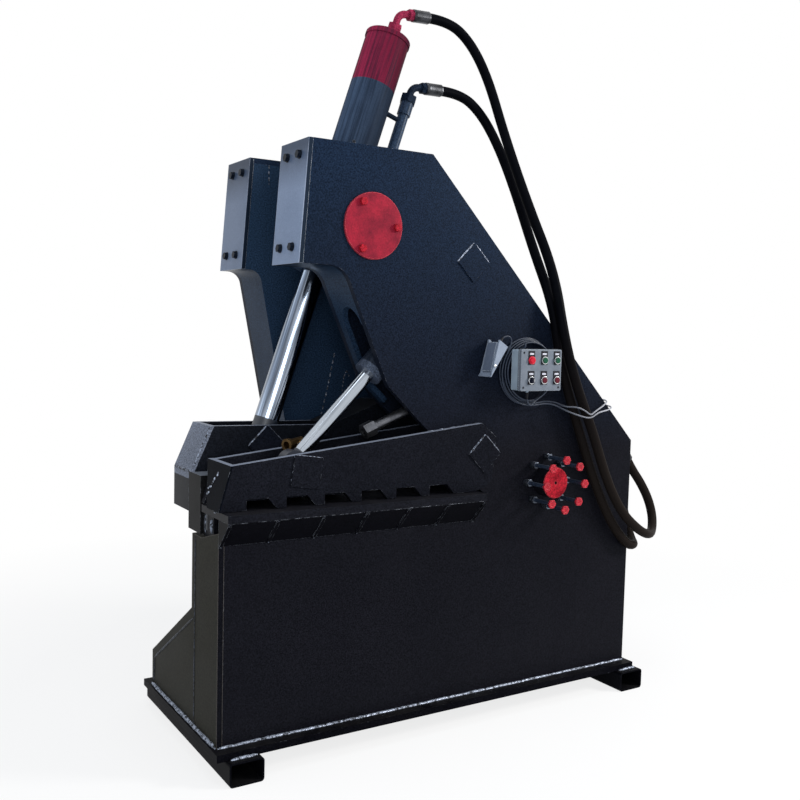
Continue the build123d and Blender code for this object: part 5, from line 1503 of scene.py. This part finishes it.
@dataclass
class MainCylinder(Assembly):
    """The cylinder between the arms, its fittings and its two hoses.

    Attributes:
        pressure_route_mm: Route of the hose from the cylinder's head.
        pressure_length: Real length of that hose.
        return_route_mm: Route of the hose from the side tube.
        return_length: Real length of that hose.
        hose_diameter: Thickness of both hoses.
        ferrule_length: Length of the crimped sleeves at the cylinder.
        ferrule_radius: Their radius.
        rear_ferrule_length: Length of the sleeves at the back.
        rear_ferrule_radius: Their radius.
        groove_pitch: Distance from one groove of a sleeve to the next.
        groove_width: Length over which a groove runs out.
        groove_depth: Depth of the grooves.
    """

    pressure_route_mm: tuple[Triple, ...] = (
        (964, 344, 2668), (1062, 344, 2674), (1164, 338, 2612), (1238, 312, 2478), (1284, 250, 2245),
        (1303, 118, 1970), (1328, -25, 1700), (1345, -78, 1450), (1420, -70, 1270), (1512, -70, 1095),
        (1600, -70, 890), (1690, -70, 752), (1790, -68, 672), (1880, -42, 636), (1966, 18, 630),
        (2014, 62, 682), (2003, 78, 755), (1951, 80, 834), (1898, 82, 893), (1866, 84, 940),
    )
    pressure_length: float = 2.966
    return_route_mm: tuple[Triple, ...] = (
        (1030, 344, 2402.6), (1128, 344, 2406), (1222, 334, 2344), (1293, 306, 2222), (1332, 240, 2045),
        (1335, 110, 1790), (1331, -24, 1570), (1370, -27, 1365), (1465, -26, 1130), (1580, -26, 870),
        (1672, -28, 708), (1762, -35, 606), (1826, -19, 594), (1880, 54, 600), (1920, 130, 670),
        (1938, 191, 800), (1912, 205, 940),
    )
    return_length: float = 2.692
    hose_diameter: float = 0.038
    ferrule_length: float = 0.072
    ferrule_radius: float = 0.0236
    rear_ferrule_length: float = 0.034
    rear_ferrule_radius: float = 0.0246
    groove_pitch: float = 0.009
    groove_width: float = 0.004
    groove_depth: float = 0.0006

    def build(self) -> None:
        """Dresses the cylinder and adds its hoses and sleeves."""
        self.dress(Finishes.CYLINDER_PAINT, "main_barrel", "main_gland")
        self.dress(Finishes.SHEEN_TUBE_PAINT, "side_tube")
        self.dress(Finishes.ELBOW_PAINT, "cylinder_hose_elbows")
        self.dress(Finishes.MAIN_CHROME, "main_rod")
        self.dress(Finishes.DARK_STEEL, "rear_hose_elbows")
        self.hose("pressure_hose", self.pressure_route_mm, self.pressure_length)
        self.hose("return_hose", self.return_route_mm, self.return_length)

    def hose(self, name: str, route_mm: Sequence[Triple], length: float) -> None:
        """Lays one hose with its two crimped sleeves.

        Args:
            name: The hose's name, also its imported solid's.
            route_mm: Its route.
            length: Its real length.
        """
        route = tuple(place(*point) for point in route_mm)
        run = CordRun(name + "_run", route, self.hose_diameter, length, (name,), Stiffness.STIFF)
        piece = run.as_tube()
        piece.data.materials.append(self.finishes.material(Finishes.HOSE))
        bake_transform(piece)
        log.info("laid %s along %d points", name, len(route))
        upper = (self.ferrule_length, self.ferrule_radius)
        lower = (self.rear_ferrule_length, self.rear_ferrule_radius)
        self.sleeve(name + "_upper_sleeve", route[0], route[0] - route[1], *upper, Body.MAIN_CYLINDER)
        self.sleeve(name + "_lower_sleeve", route[-1], route[-1] - route[-2], *lower, Body.FRAME)

    def sleeve(self, name: str, foot: Vector, axis: Vector, length: float, radius: float, body: Body) -> None:
        """Adds one crimped sleeve over a hose's end fitting.

        Args:
            name: The piece's name.
            foot: The end that faces the hose.
            axis: Away from the hose.
            length: The sleeve's length.
            radius: The sleeve's radius.
            body: The body that carries it.
        """
        mesh = bmesh.new()
        profile = [(-0.003, radius - 0.0012), (-0.001, radius), (0.004, radius)]
        groove, last_groove = 0.008, length - 0.012
        while groove < last_groove:
            profile += [(groove, radius - self.groove_depth), (groove + self.groove_width, radius)]
            groove += self.groove_pitch
        profile += [(length - 0.003, radius), (length - 0.001, radius - 0.001)]
        turned(mesh, foot, axis, profile, sides=48, flutes=8, flute_depth=0.0007)
        self.piece(name, mesh, Finishes.FERRULE, body, Slot.PLAIN_STEEL)


@dataclass
class ShearJaw(Assembly):
    """The moving jaw and its pivot.

    Attributes:
        pin_mm: X and Z of the rod pin.
        keeper_half_mm: Half the diagonal of the pin's keeper.
        keeper_face_mm: Y of the face that the keeper lies on.
    """

    pin_mm: tuple[float, float] = (285.0, 1046.0)
    keeper_half_mm: float = 70.7
    keeper_face_mm: float = 273.0

    def build(self) -> None:
        """Dresses the jaw and adds its welds."""
        self.dress(Finishes.JAW_PAINT, "jaw_box")
        self.dress(Finishes.BEAM_PAINT, "jaw_beam")
        self.dress(Finishes.BLACK_PAINT, "jaw_rod_pin")
        self.dress(Finishes.BLADE_STEEL, "upper_blade")
        self.dress(Finishes.DARK_STEEL, "upper_blade_bolts")
        self.dress(Finishes.SHAFT_PAINT, "main_shaft")
        self.dress(Finishes.ADJUSTER_PAINT, "adjusting_bolts")
        self.dress(Finishes.LOCK_NUT_STEEL, "adjusting_lock_nuts")
        x, z = self.pin_mm
        reach, face = self.keeper_half_mm, self.keeper_face_mm
        left, top, right = (x - reach, face, z), (x, face, z + reach), (x + reach, face, z)
        seams = [
            seam((left, top), (0.0, -1.0, 0.4), 0.005),
            seam((top, right), (0.0, -1.0, 0.4), 0.004),
            seam(((8, 297, 966), (8, 446, 966)), (-1.0, 0.0, 0.2), 0.005),
            seam(((72, 275, 1117), (10, 275, 970)), (-0.7, -0.7, 0.0), 0.0035),
        ]
        self.welds("jaw_weld_beads", seams, Finishes.WELD, Body.JAW, seed=21)


@dataclass
class HoldDown(Assembly):
    """The hold-down arm with its cylinder.

    Attributes:
        pivot_mm: X and Z of its pivot.
        base_pin_mm: X and Z of the cylinder's base pin.
        keeper_half_mm: Half the diagonal of the diamond keepers.
        face_mm: Y of the arm's outer face.
        patch_mm: Corners of the square keeper on the rod pin.
        front_foot_mm: X and Z of the slanted front plate's foot.
        front_lean: How far that plate leans back for each length of rise.
        spatter_count: Drops of spatter on it.
        spatter_start_mm: Y and Z of the first drop.
        spatter_run_mm: Y and Z from the first drop to the last.
        spatter_stray_mm: How far a drop strays in Y and Z.
        spatter_size: Least and largest radius of a drop.
    """

    pivot_mm: tuple[float, float] = (1023.0, 1016.0)
    base_pin_mm: tuple[float, float] = (966.0, 1714.0)
    keeper_half_mm: float = 70.7
    face_mm: float = -26.0
    patch_mm: tuple[tuple[float, float], ...] = (
        (236.0, 946.0), (250.0, 1049.0), (352.0, 1035.0), (338.0, 932.0),
    )
    front_foot_mm: tuple[float, float] = (-12.0, 879.0)
    front_lean: float = 42.0 / 145.0
    spatter_count: int = 11
    spatter_start_mm: tuple[float, float] = (60.0, 990.0)
    spatter_run_mm: tuple[float, float] = (44.0, -66.0)
    spatter_stray_mm: tuple[float, float] = (9.0, 6.0)
    spatter_size: tuple[float, float] = (0.0022, 0.0046)

    def diamond(self, at: tuple[float, float], face: float) -> list[WeldSeam]:
        """Gives the two upper seams of a diamond keeper.

        Args:
            at: X and Z of its middle.
            face: Y of the face that it lies on.

        Returns:
            The two seams.
        """
        x, z = at
        reach = self.keeper_half_mm
        left, top, right = (x - reach, face, z), (x, face, z + reach), (x + reach, face, z)
        out = (0.0, -0.7, 0.5)
        return [seam((left, top), out, 0.005), seam((top, right), out, 0.005)]

    def build(self) -> None:
        """Dresses the arm and its cylinder and adds their welds."""
        self.dress(Finishes.PRESSER_PAINT, "presser_arm", "presser_pivot_pin", "presser_rod_pin")
        self.dress(Finishes.NEAR_PLATE_PAINT, "presser_cylinder_pin")
        self.dress(Finishes.PRESSER_BARREL_PAINT, "presser_barrel")
        self.dress(Finishes.PRESSER_CHROME, "presser_rod")
        self.dress(Finishes.YELLOW_ZINC, "presser_pipe_union")
        face = self.face_mm
        seams = self.diamond(self.pivot_mm, face)
        lower_left, upper_left, upper_right, lower_right = ((x, face, z) for x, z in self.patch_mm)
        seams += [
            seam((upper_left, upper_right), (0.0, -0.7, 0.5), 0.0032),
            seam((upper_left, lower_left), (-0.5, -0.7, 0.0), 0.003, 0.005, 0.008, 0.018),
            seam((upper_right, lower_right), (0.5, -0.7, 0.0), 0.003, 0.005, 0.008, 0.018),
            seam(((777, -4, 1105), (1009, -4, 1129)), (0.0, 0.6, 0.7), 0.0035, 0.006, 0.03, 0.02),
        ]
        self.welds("presser_weld_beads", seams, Finishes.WELD, Body.HOLD_DOWN, seed=31)
        self.spatter()
        keeper = self.diamond(self.base_pin_mm, 0.0)
        self.welds("cylinder_keeper_weld", keeper, Finishes.BARE_WELD, Body.FRAME, seed=32)

    def spatter(self) -> None:
        """Adds the drops of weld spatter that stick to the arm's slanted front plate."""
        mesh = bmesh.new()
        chance = random.Random(33)
        out = Vector((-0.96, 0.0, 0.28))
        dome = ((-0.3, 1.0), (0.2, 0.94), (0.5, 0.7), (0.7, 0.3))
        foot_x, foot_z = self.front_foot_mm
        start_y, start_z = self.spatter_start_mm
        run_y, run_z = self.spatter_run_mm
        stray_y, stray_z = self.spatter_stray_mm
        for i in range(self.spatter_count):
            share = i / (self.spatter_count - 1)
            y = start_y + run_y * share + chance.uniform(-stray_y, stray_y)
            z = start_z + run_z * share + chance.uniform(-stray_z, stray_z)
            x = foot_x + self.front_lean * (z - foot_z)
            size = chance.uniform(*self.spatter_size)
            drop = [(height * size, radius * size) for height, radius in dome]
            turned(mesh, place(x, y, z), out, drop, sides=10)
        self.piece("presser_spatter", mesh, Finishes.BARE_WELD, Body.HOLD_DOWN, Slot.BLACK_PAINT)


@dataclass
class ControlStation(Assembly):
    """The push-button box with its coil of cable.

    Attributes:
        corner_mm: Lower front corner of the box.
        size_mm: Width and height of the box.
        lid_face_mm: Y of the lid's front face.
        label_size: Width, height and thickness of a blank label.
        label_rounding: Radius of a label's corners.
        label_shift_mm: From a button's middle, on the lid's face, to its label's corner.
        gasket_mm: Y of the seal's back face.
        gasket_proud: How far the seal stands out past the box.
        gasket_thickness: Thickness of the seal.
        gasket_rounding: Radius of the seal's corners.
        screw_inset_mm: How far the lid's screws are from its edges.
        button_x_mm: X of the three columns.
        button_z_mm: Z of the two rows.
        coil_middle_mm: X and Z of the coil's middle.
        coil_radius_mm: Radius of its first turn.
        coil_growth_mm: How much wider each turn is.
        coil_pitch_mm: How far each turn steps towards the plate.
        coil_first_y_mm: Y of its first turn.
        coil_turns: Its turns.
        coil_steps: Control points to a turn.
        lead_mm: Route of the cable from the box to the coil.
        away_mm: Route of the cable from the coil to the rear slope.
        cable_length: Real length of the cable.
        cable_diameter: Thickness of the cable.
    """

    corner_mm: tuple[float, float] = (1115.0, 1254.0)
    size_mm: tuple[float, float] = (190.0, 150.0)
    lid_face_mm: float = -110.0
    label_size: Triple = (0.019, 0.0068, 0.0009)
    label_rounding: float = 0.0010
    label_shift_mm: Triple = (-9.5, -1.4, 20.0)
    gasket_mm: float = -92.5
    gasket_proud: float = 0.0028
    gasket_thickness: float = 0.0024
    gasket_rounding: float = 0.009
    screw_inset_mm: float = 11.0
    button_x_mm: Triple = (1160.5, 1221.3, 1282.1)
    button_z_mm: tuple[float, float] = (1292.0, 1365.5)
    coil_middle_mm: tuple[float, float] = (1218.0, 1322.0)
    coil_radius_mm: float = 106.0
    coil_growth_mm: float = 5.0
    coil_pitch_mm: float = 9.8
    coil_first_y_mm: float = -46.0
    coil_turns: int = 4
    coil_steps: int = 16
    lead_mm: tuple[Triple, ...] = (
        (1172, -76, 1242), (1175, -74, 1210), (1204, -58, 1190), (1240, -46.2, 1212.2),
    )
    away_mm: tuple[Triple, ...] = (
        (1268, -9, 1197), (1320, -14, 1206), (1346, -46, 1201), (1352, -86, 1188), (1390, -108, 1189),
        (1431, -110, 1176), (1467, -108, 1154), (1512, -82, 1165), (1562, -52, 1173), (1612, -26, 1183),
        (1646, -14, 1200), (1648, 25, 1204.4), (1647.9, 60, 1204.4),
    )
    cable_length: float = 3.580
    cable_diameter: float = 0.006

    def build(self) -> None:
        """Dresses the box and adds its screws, labels and cable."""
        self.dress(Finishes.ENCLOSURE, "control_box_lid")
        self.dress(Finishes.ENCLOSURE_SIDE, "control_box")
        self.dress(Finishes.LEGEND, "legend_plates")
        self.dress(Finishes.BEZEL, "button_bezels")
        self.dress(Finishes.RED_BUTTON, "red_button")
        self.dress(Finishes.GREEN_BUTTON, "green_button_left", "green_button_right")
        self.dress(Finishes.DARK_BUTTON, "dark_button_left", "dark_button_right")
        self.dress(Finishes.SELECTOR, "selector_knob")
        self.dress(Finishes.CABLE, "coil_hook")
        self.labels()
        self.lid_screws()
        self.gasket()
        self.cable()

    def labels(self) -> None:
        """Adds the blank label in each legend plate."""
        mesh = bmesh.new()
        width, height, thickness = self.label_size
        right, up, thick = Vector(REAR) * width, Vector(UP) * height, Vector(NEAR) * thickness
        shift_x, shift_y, shift_z = self.label_shift_mm
        for z in self.button_z_mm:
            for x in self.button_x_mm:
                corner = place(x + shift_x, self.lid_face_mm + shift_y, z + shift_z)
                slab(mesh, corner, right, up, thick, self.label_rounding)
        self.piece("blank_labels", mesh, Finishes.LABEL, Body.FRAME, Slot.LEGEND_BLACK)

    def lid_screws(self) -> None:
        """Adds the four corner screws of the lid."""
        mesh = bmesh.new()
        x0, z0 = self.corner_mm
        wide, high = self.size_mm
        inset = self.screw_inset_mm
        profile = ((-0.003, 0.0040), (0.0008, 0.0040), (0.0014, 0.0034), (0.0015, 0.0026), (0.0004, 0.0022))
        for x in (x0 + inset, x0 + wide - inset):
            for z in (z0 + inset, z0 + high - inset):
                turned(mesh, place(x, self.lid_face_mm, z), Vector(NEAR), profile, sides=20)
        self.piece("lid_screws", mesh, Finishes.DARK_STEEL, Body.FRAME, Slot.PLAIN_STEEL)

    def gasket(self) -> None:
        """Adds the rubber seal that shows between the box and its lid."""
        mesh = bmesh.new()
        x0, z0 = self.corner_mm
        wide, high = (part * MILLIMETRE for part in self.size_mm)
        proud = Vector((self.gasket_proud, 0.0, self.gasket_proud))
        corner = place(x0, self.gasket_mm, z0) - proud
        right, up = Vector((wide + 2 * proud.x, 0.0, 0.0)), Vector((0.0, 0.0, high + 2 * proud.z))
        slab(mesh, corner, right, up, Vector(NEAR) * self.gasket_thickness, self.gasket_rounding)
        self.piece("lid_gasket", mesh, Finishes.GASKET, Body.FRAME, Slot.GREY_ENCLOSURE)

    def coil_points(self) -> list[Vector]:
        """Sets out the coil, a little wide so that the curve keeps its radius.

        Returns:
            Its control points.
        """
        first, last = math.radians(300), math.radians(270) + 2 * math.pi * self.coil_turns
        step = 2 * math.pi / self.coil_steps
        ease = 1 / (0.75 + 0.25 * math.cos(step))
        count = round((last - first) / step)
        points = []
        for i in range(count + 1):
            angle = first + (last - first) * i / count
            turn = (angle - first) / (2 * math.pi)
            radius = (self.coil_radius_mm + self.coil_growth_mm * turn) * ease
            points.append(place(
                self.coil_middle_mm[0] + radius * math.cos(angle),
                self.coil_first_y_mm + self.coil_pitch_mm * turn,
                self.coil_middle_mm[1] + radius * math.sin(angle),
            ))
        return points

    def cable(self) -> None:
        """Lays the control cable from the box, round the coil and to the rear slope."""
        lead = [place(*point) for point in self.lead_mm]
        away = [place(*point) for point in self.away_mm]
        route = (*lead, *self.coil_points(), *away)
        stands_for = ("box_lead", "cable_coil", "control_cable")
        run = CordRun(
            "control_cable_run", route, self.cable_diameter, self.cable_length, stands_for, lay=Lay.COILED
        )
        self.lay_cable(run, "control_cable_boots")


@dataclass
class FootSwitch(Assembly):
    """The foot switch that hangs beside the box.

    Attributes:
        cable_route_mm: Route of its cable to the rear slope.
        cable_length: Real length of the cable.
        cable_diameter: Thickness of the cable.
        hinge_mm: Outer end of the treadle's hinge pin.
    """

    cable_route_mm: tuple[Triple, ...] = (
        (1071, -35, 1426.6), (1079, -35, 1438.8), (1092, -34, 1450), (1116, -33, 1452), (1130, -32, 1434),
        (1118, -30, 1400), (1098, -28, 1362), (1090, -27, 1315), (1098, -28, 1265), (1130, -30, 1222),
        (1184, -32, 1196), (1240, -33, 1191), (1295, -36, 1199), (1334, -48, 1194), (1353, -88, 1175),
        (1412, -107, 1153), (1470, -106, 1142), (1548, -62, 1159), (1606, -36, 1162), (1652, -20, 1166),
        (1670, -14, 1175.5), (1672, 25, 1179.9), (1671.9, 60, 1179.9),
    )
    cable_length: float = 0.978
    cable_diameter: float = 0.006
    hinge_mm: Triple = (1019.4, -77.0, 1343.2)

    def build(self) -> None:
        """Dresses the switch and lays its cable."""
        self.dress(Finishes.PEDAL, "pedal_base")
        self.dress(Finishes.TREAD, "foot_treadle")
        route = tuple(place(*point) for point in self.cable_route_mm)
        run = CordRun("pedal_cable_run", route, self.cable_diameter, self.cable_length, ("pedal_cable",))
        self.lay_cable(run, "pedal_cable_boots")
        bolt = bmesh.new()
        dome = ((0.0004, 0.0058), (-0.0012, 0.0056), (-0.0022, 0.0046), (-0.0028, 0.0030), (-0.0030, 0.0010))
        turned(bolt, place(*self.hinge_mm), Vector(FAR), dome, sides=20)
        self.piece("pedal_hinge_bolt", bolt, Finishes.BOLT_ZINC, Body.FRAME, Slot.PLAIN_STEEL)


@dataclass(frozen=True)
class SoftLamp:
    """One soft lamp.

    Attributes:
        name: Its name.
        at: Its place.
        aim: The point that it faces.
        size: Width and height of its panel.
        watts: Its power.
        colour: Its colour.
    """

    name: str
    at: Triple
    aim: Triple
    size: tuple[float, float]
    watts: float
    colour: Triple

    def build(self) -> None:
        """Adds the lamp to the scene."""
        data = bpy.data.lights.new(self.name, "AREA")
        data.shape = "RECTANGLE"
        data.size, data.size_y = self.size
        data.energy = self.watts
        data.color = self.colour
        lamp = bpy.data.objects.new(self.name, data)
        lamp.location = self.at
        lamp.rotation_euler = (Vector(self.aim) - Vector(self.at)).to_track_quat("-Z", "Y").to_euler()
        lamp.visible_camera = False
        bpy.context.scene.collection.objects.link(lamp)


@dataclass
class Studio:
    """The floor, the light and the camera.

    Attributes:
        camera_mm: The camera's place in shop millimetres.
        yaw: The way that it looks, in degrees from +Y towards +X.
        pitch: How far it looks down, in degrees.
        roll: How far it is tilted, in degrees.
        lens: Its focal length in millimetres.
        film: Width of its frame in millimetres.
        floor_half: Half the floor's width.
        floor_drop: How far the floor lies below the skids.
        floor_colour: Colour of the floor.
        fade: Distances from the middle where the floor starts and ends to fade to white.
        sky_colour: Colour of the soft surround.
        sky_strength: Strength of the soft surround.
        lamps: The soft lamps.
    """

    camera_mm: Triple = (-1098.0, -2808.9, 1461.1)
    yaw: float = 32.11
    pitch: float = 4.157
    roll: float = -1.418
    lens: float = 42.76
    film: float = 36.0
    floor_half: float = 40.0
    floor_drop: float = 0.0006
    floor_colour: Colour = (0.86, 0.86, 0.86, 1.0)
    fade: tuple[float, float] = (1.6, 3.4)
    sky_colour: Colour = (0.82, 0.9, 1.0, 1.0)
    sky_strength: float = 0.4
    lamps: tuple[SoftLamp, ...] = (
        SoftLamp("key_softbox", (4.2, -3.4, 3.4), (0.1, -0.1, 1.0), (1.3, 1.3), 310.0, (1.0, 0.97, 0.93)),
        SoftLamp("sky_softbox", (-3.8, 1.4, 3.1), (-0.65, -0.1, 1.7), (3.2, 2.4), 24.0, (0.84, 0.92, 1.0)),
        SoftLamp("fill_softbox", (-2.6, -4.2, 2.0), (-0.2, 0.0, 1.2), (2.2, 2.2), 80.0, (0.90, 0.95, 1.0)),
        SoftLamp("top_softbox", (-0.8, -1.2, 5.2), (0.0, 0.0, 1.0), (3.0, 3.0), 80.0, (0.94, 0.97, 1.0)),
    )

    def build(self) -> None:
        """Sets up everything that isn't the machine."""
        self.world()
        self.floor()
        for lamp in self.lamps:
            lamp.build()
        self.camera()

    def camera(self) -> None:
        """Makes the camera that takes the photograph's view."""
        yaw, pitch, roll = (math.radians(angle) for angle in (self.yaw, self.pitch, self.roll))
        forward = Vector((math.sin(yaw) * math.cos(pitch), math.cos(yaw) * math.cos(pitch), -math.sin(pitch)))
        level = Vector((math.cos(yaw), -math.sin(yaw), 0.0))
        down = forward.cross(level)
        right = level * math.cos(roll) + down * math.sin(roll)
        up = level * math.sin(roll) - down * math.cos(roll)
        data = bpy.data.cameras.new("photo_camera")
        data.lens = self.lens
        data.sensor_width = self.film
        camera = bpy.data.objects.new("photo_camera", data)
        turn = Matrix((right, up, -forward)).transposed()
        camera.matrix_world = Matrix.Translation(place(*self.camera_mm)) @ turn.to_4x4()
        bpy.context.scene.collection.objects.link(camera)
        bpy.context.scene.camera = camera

    @staticmethod
    def sees_backdrop(graph: Graph) -> bpy.types.NodeSocket:
        """Gives a mask of the rays that see the white backdrop itself.

        Args:
            graph: The graph to add it to.

        Returns:
            A socket that is 1 for camera, mirror and glass rays.
        """
        path = graph.add("ShaderNodeLightPath")
        shown = graph.calc("MAXIMUM", path.outputs["Is Camera Ray"], path.outputs["Is Glossy Ray"])
        return graph.calc("MAXIMUM", shown, path.outputs["Is Transmission Ray"])

    def world(self) -> None:
        """Makes the soft surround, white where it is seen."""
        world = bpy.data.worlds.new("white_surround")
        graph = Graph.of(world)
        soft = graph.add("ShaderNodeBackground", {"Color": self.sky_colour, "Strength": self.sky_strength})
        white = graph.add("ShaderNodeBackground", {"Color": WHITE, "Strength": 1.0})
        shown = self.sees_backdrop(graph)
        both = graph.add("ShaderNodeMixShader", {0: shown, 1: soft.outputs[0], 2: white.outputs[0]})
        graph.add("ShaderNodeOutputWorld", {"Surface": both.outputs[0]})
        bpy.context.scene.world = world

    def floor(self) -> None:
        """Makes the pale floor, which keeps a faint shadow and fades to white."""
        half = self.floor_half
        mesh = bmesh.new()
        corners = ((-half, -half), (half, -half), (half, half), (-half, half))
        mesh.faces.new([mesh.verts.new((x, y, -self.floor_drop)) for x, y in corners])
        data = bpy.data.meshes.new("pale_floor")
        mesh.to_mesh(data)
        mesh.free()
        material = bpy.data.materials.new("pale_floor")
        graph = Graph.of(material)
        distance = graph.vector("LENGTH", graph.coords(), (0.0, 0.0, 0.0)).outputs["Value"]
        white = graph.spread(distance, *self.fade, start=0.80, end=1.0)
        matt = graph.add("ShaderNodeBsdfDiffuse", {"Color": self.floor_colour})
        glow = graph.add("ShaderNodeEmission", {"Color": WHITE, "Strength": 1.0})
        shown = graph.calc("MULTIPLY", white, self.sees_backdrop(graph))
        both = graph.add("ShaderNodeMixShader", {0: shown, 1: matt.outputs[0], 2: glow.outputs[0]})
        graph.add("ShaderNodeOutputMaterial", {"Surface": both.outputs[0]})
        data.materials.append(material)
        floor = bpy.data.objects.new("pale_floor", data)
        bpy.context.scene.collection.objects.link(floor)


def main() -> None:
    """Builds the machine's looks in order."""
    logging.basicConfig(level=logging.INFO, format="%(name)s: %(message)s")
    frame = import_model()
    bpy.context.scene.view_settings.view_transform = "Standard"
    finishes = Finishes()
    Studio().build()
    for assembly in (MainCylinder, ControlStation, FootSwitch, FrameWeldment, ShearJaw, HoldDown):
        assembly(frame, finishes).build()


if __name__ == "__main__":
    main()
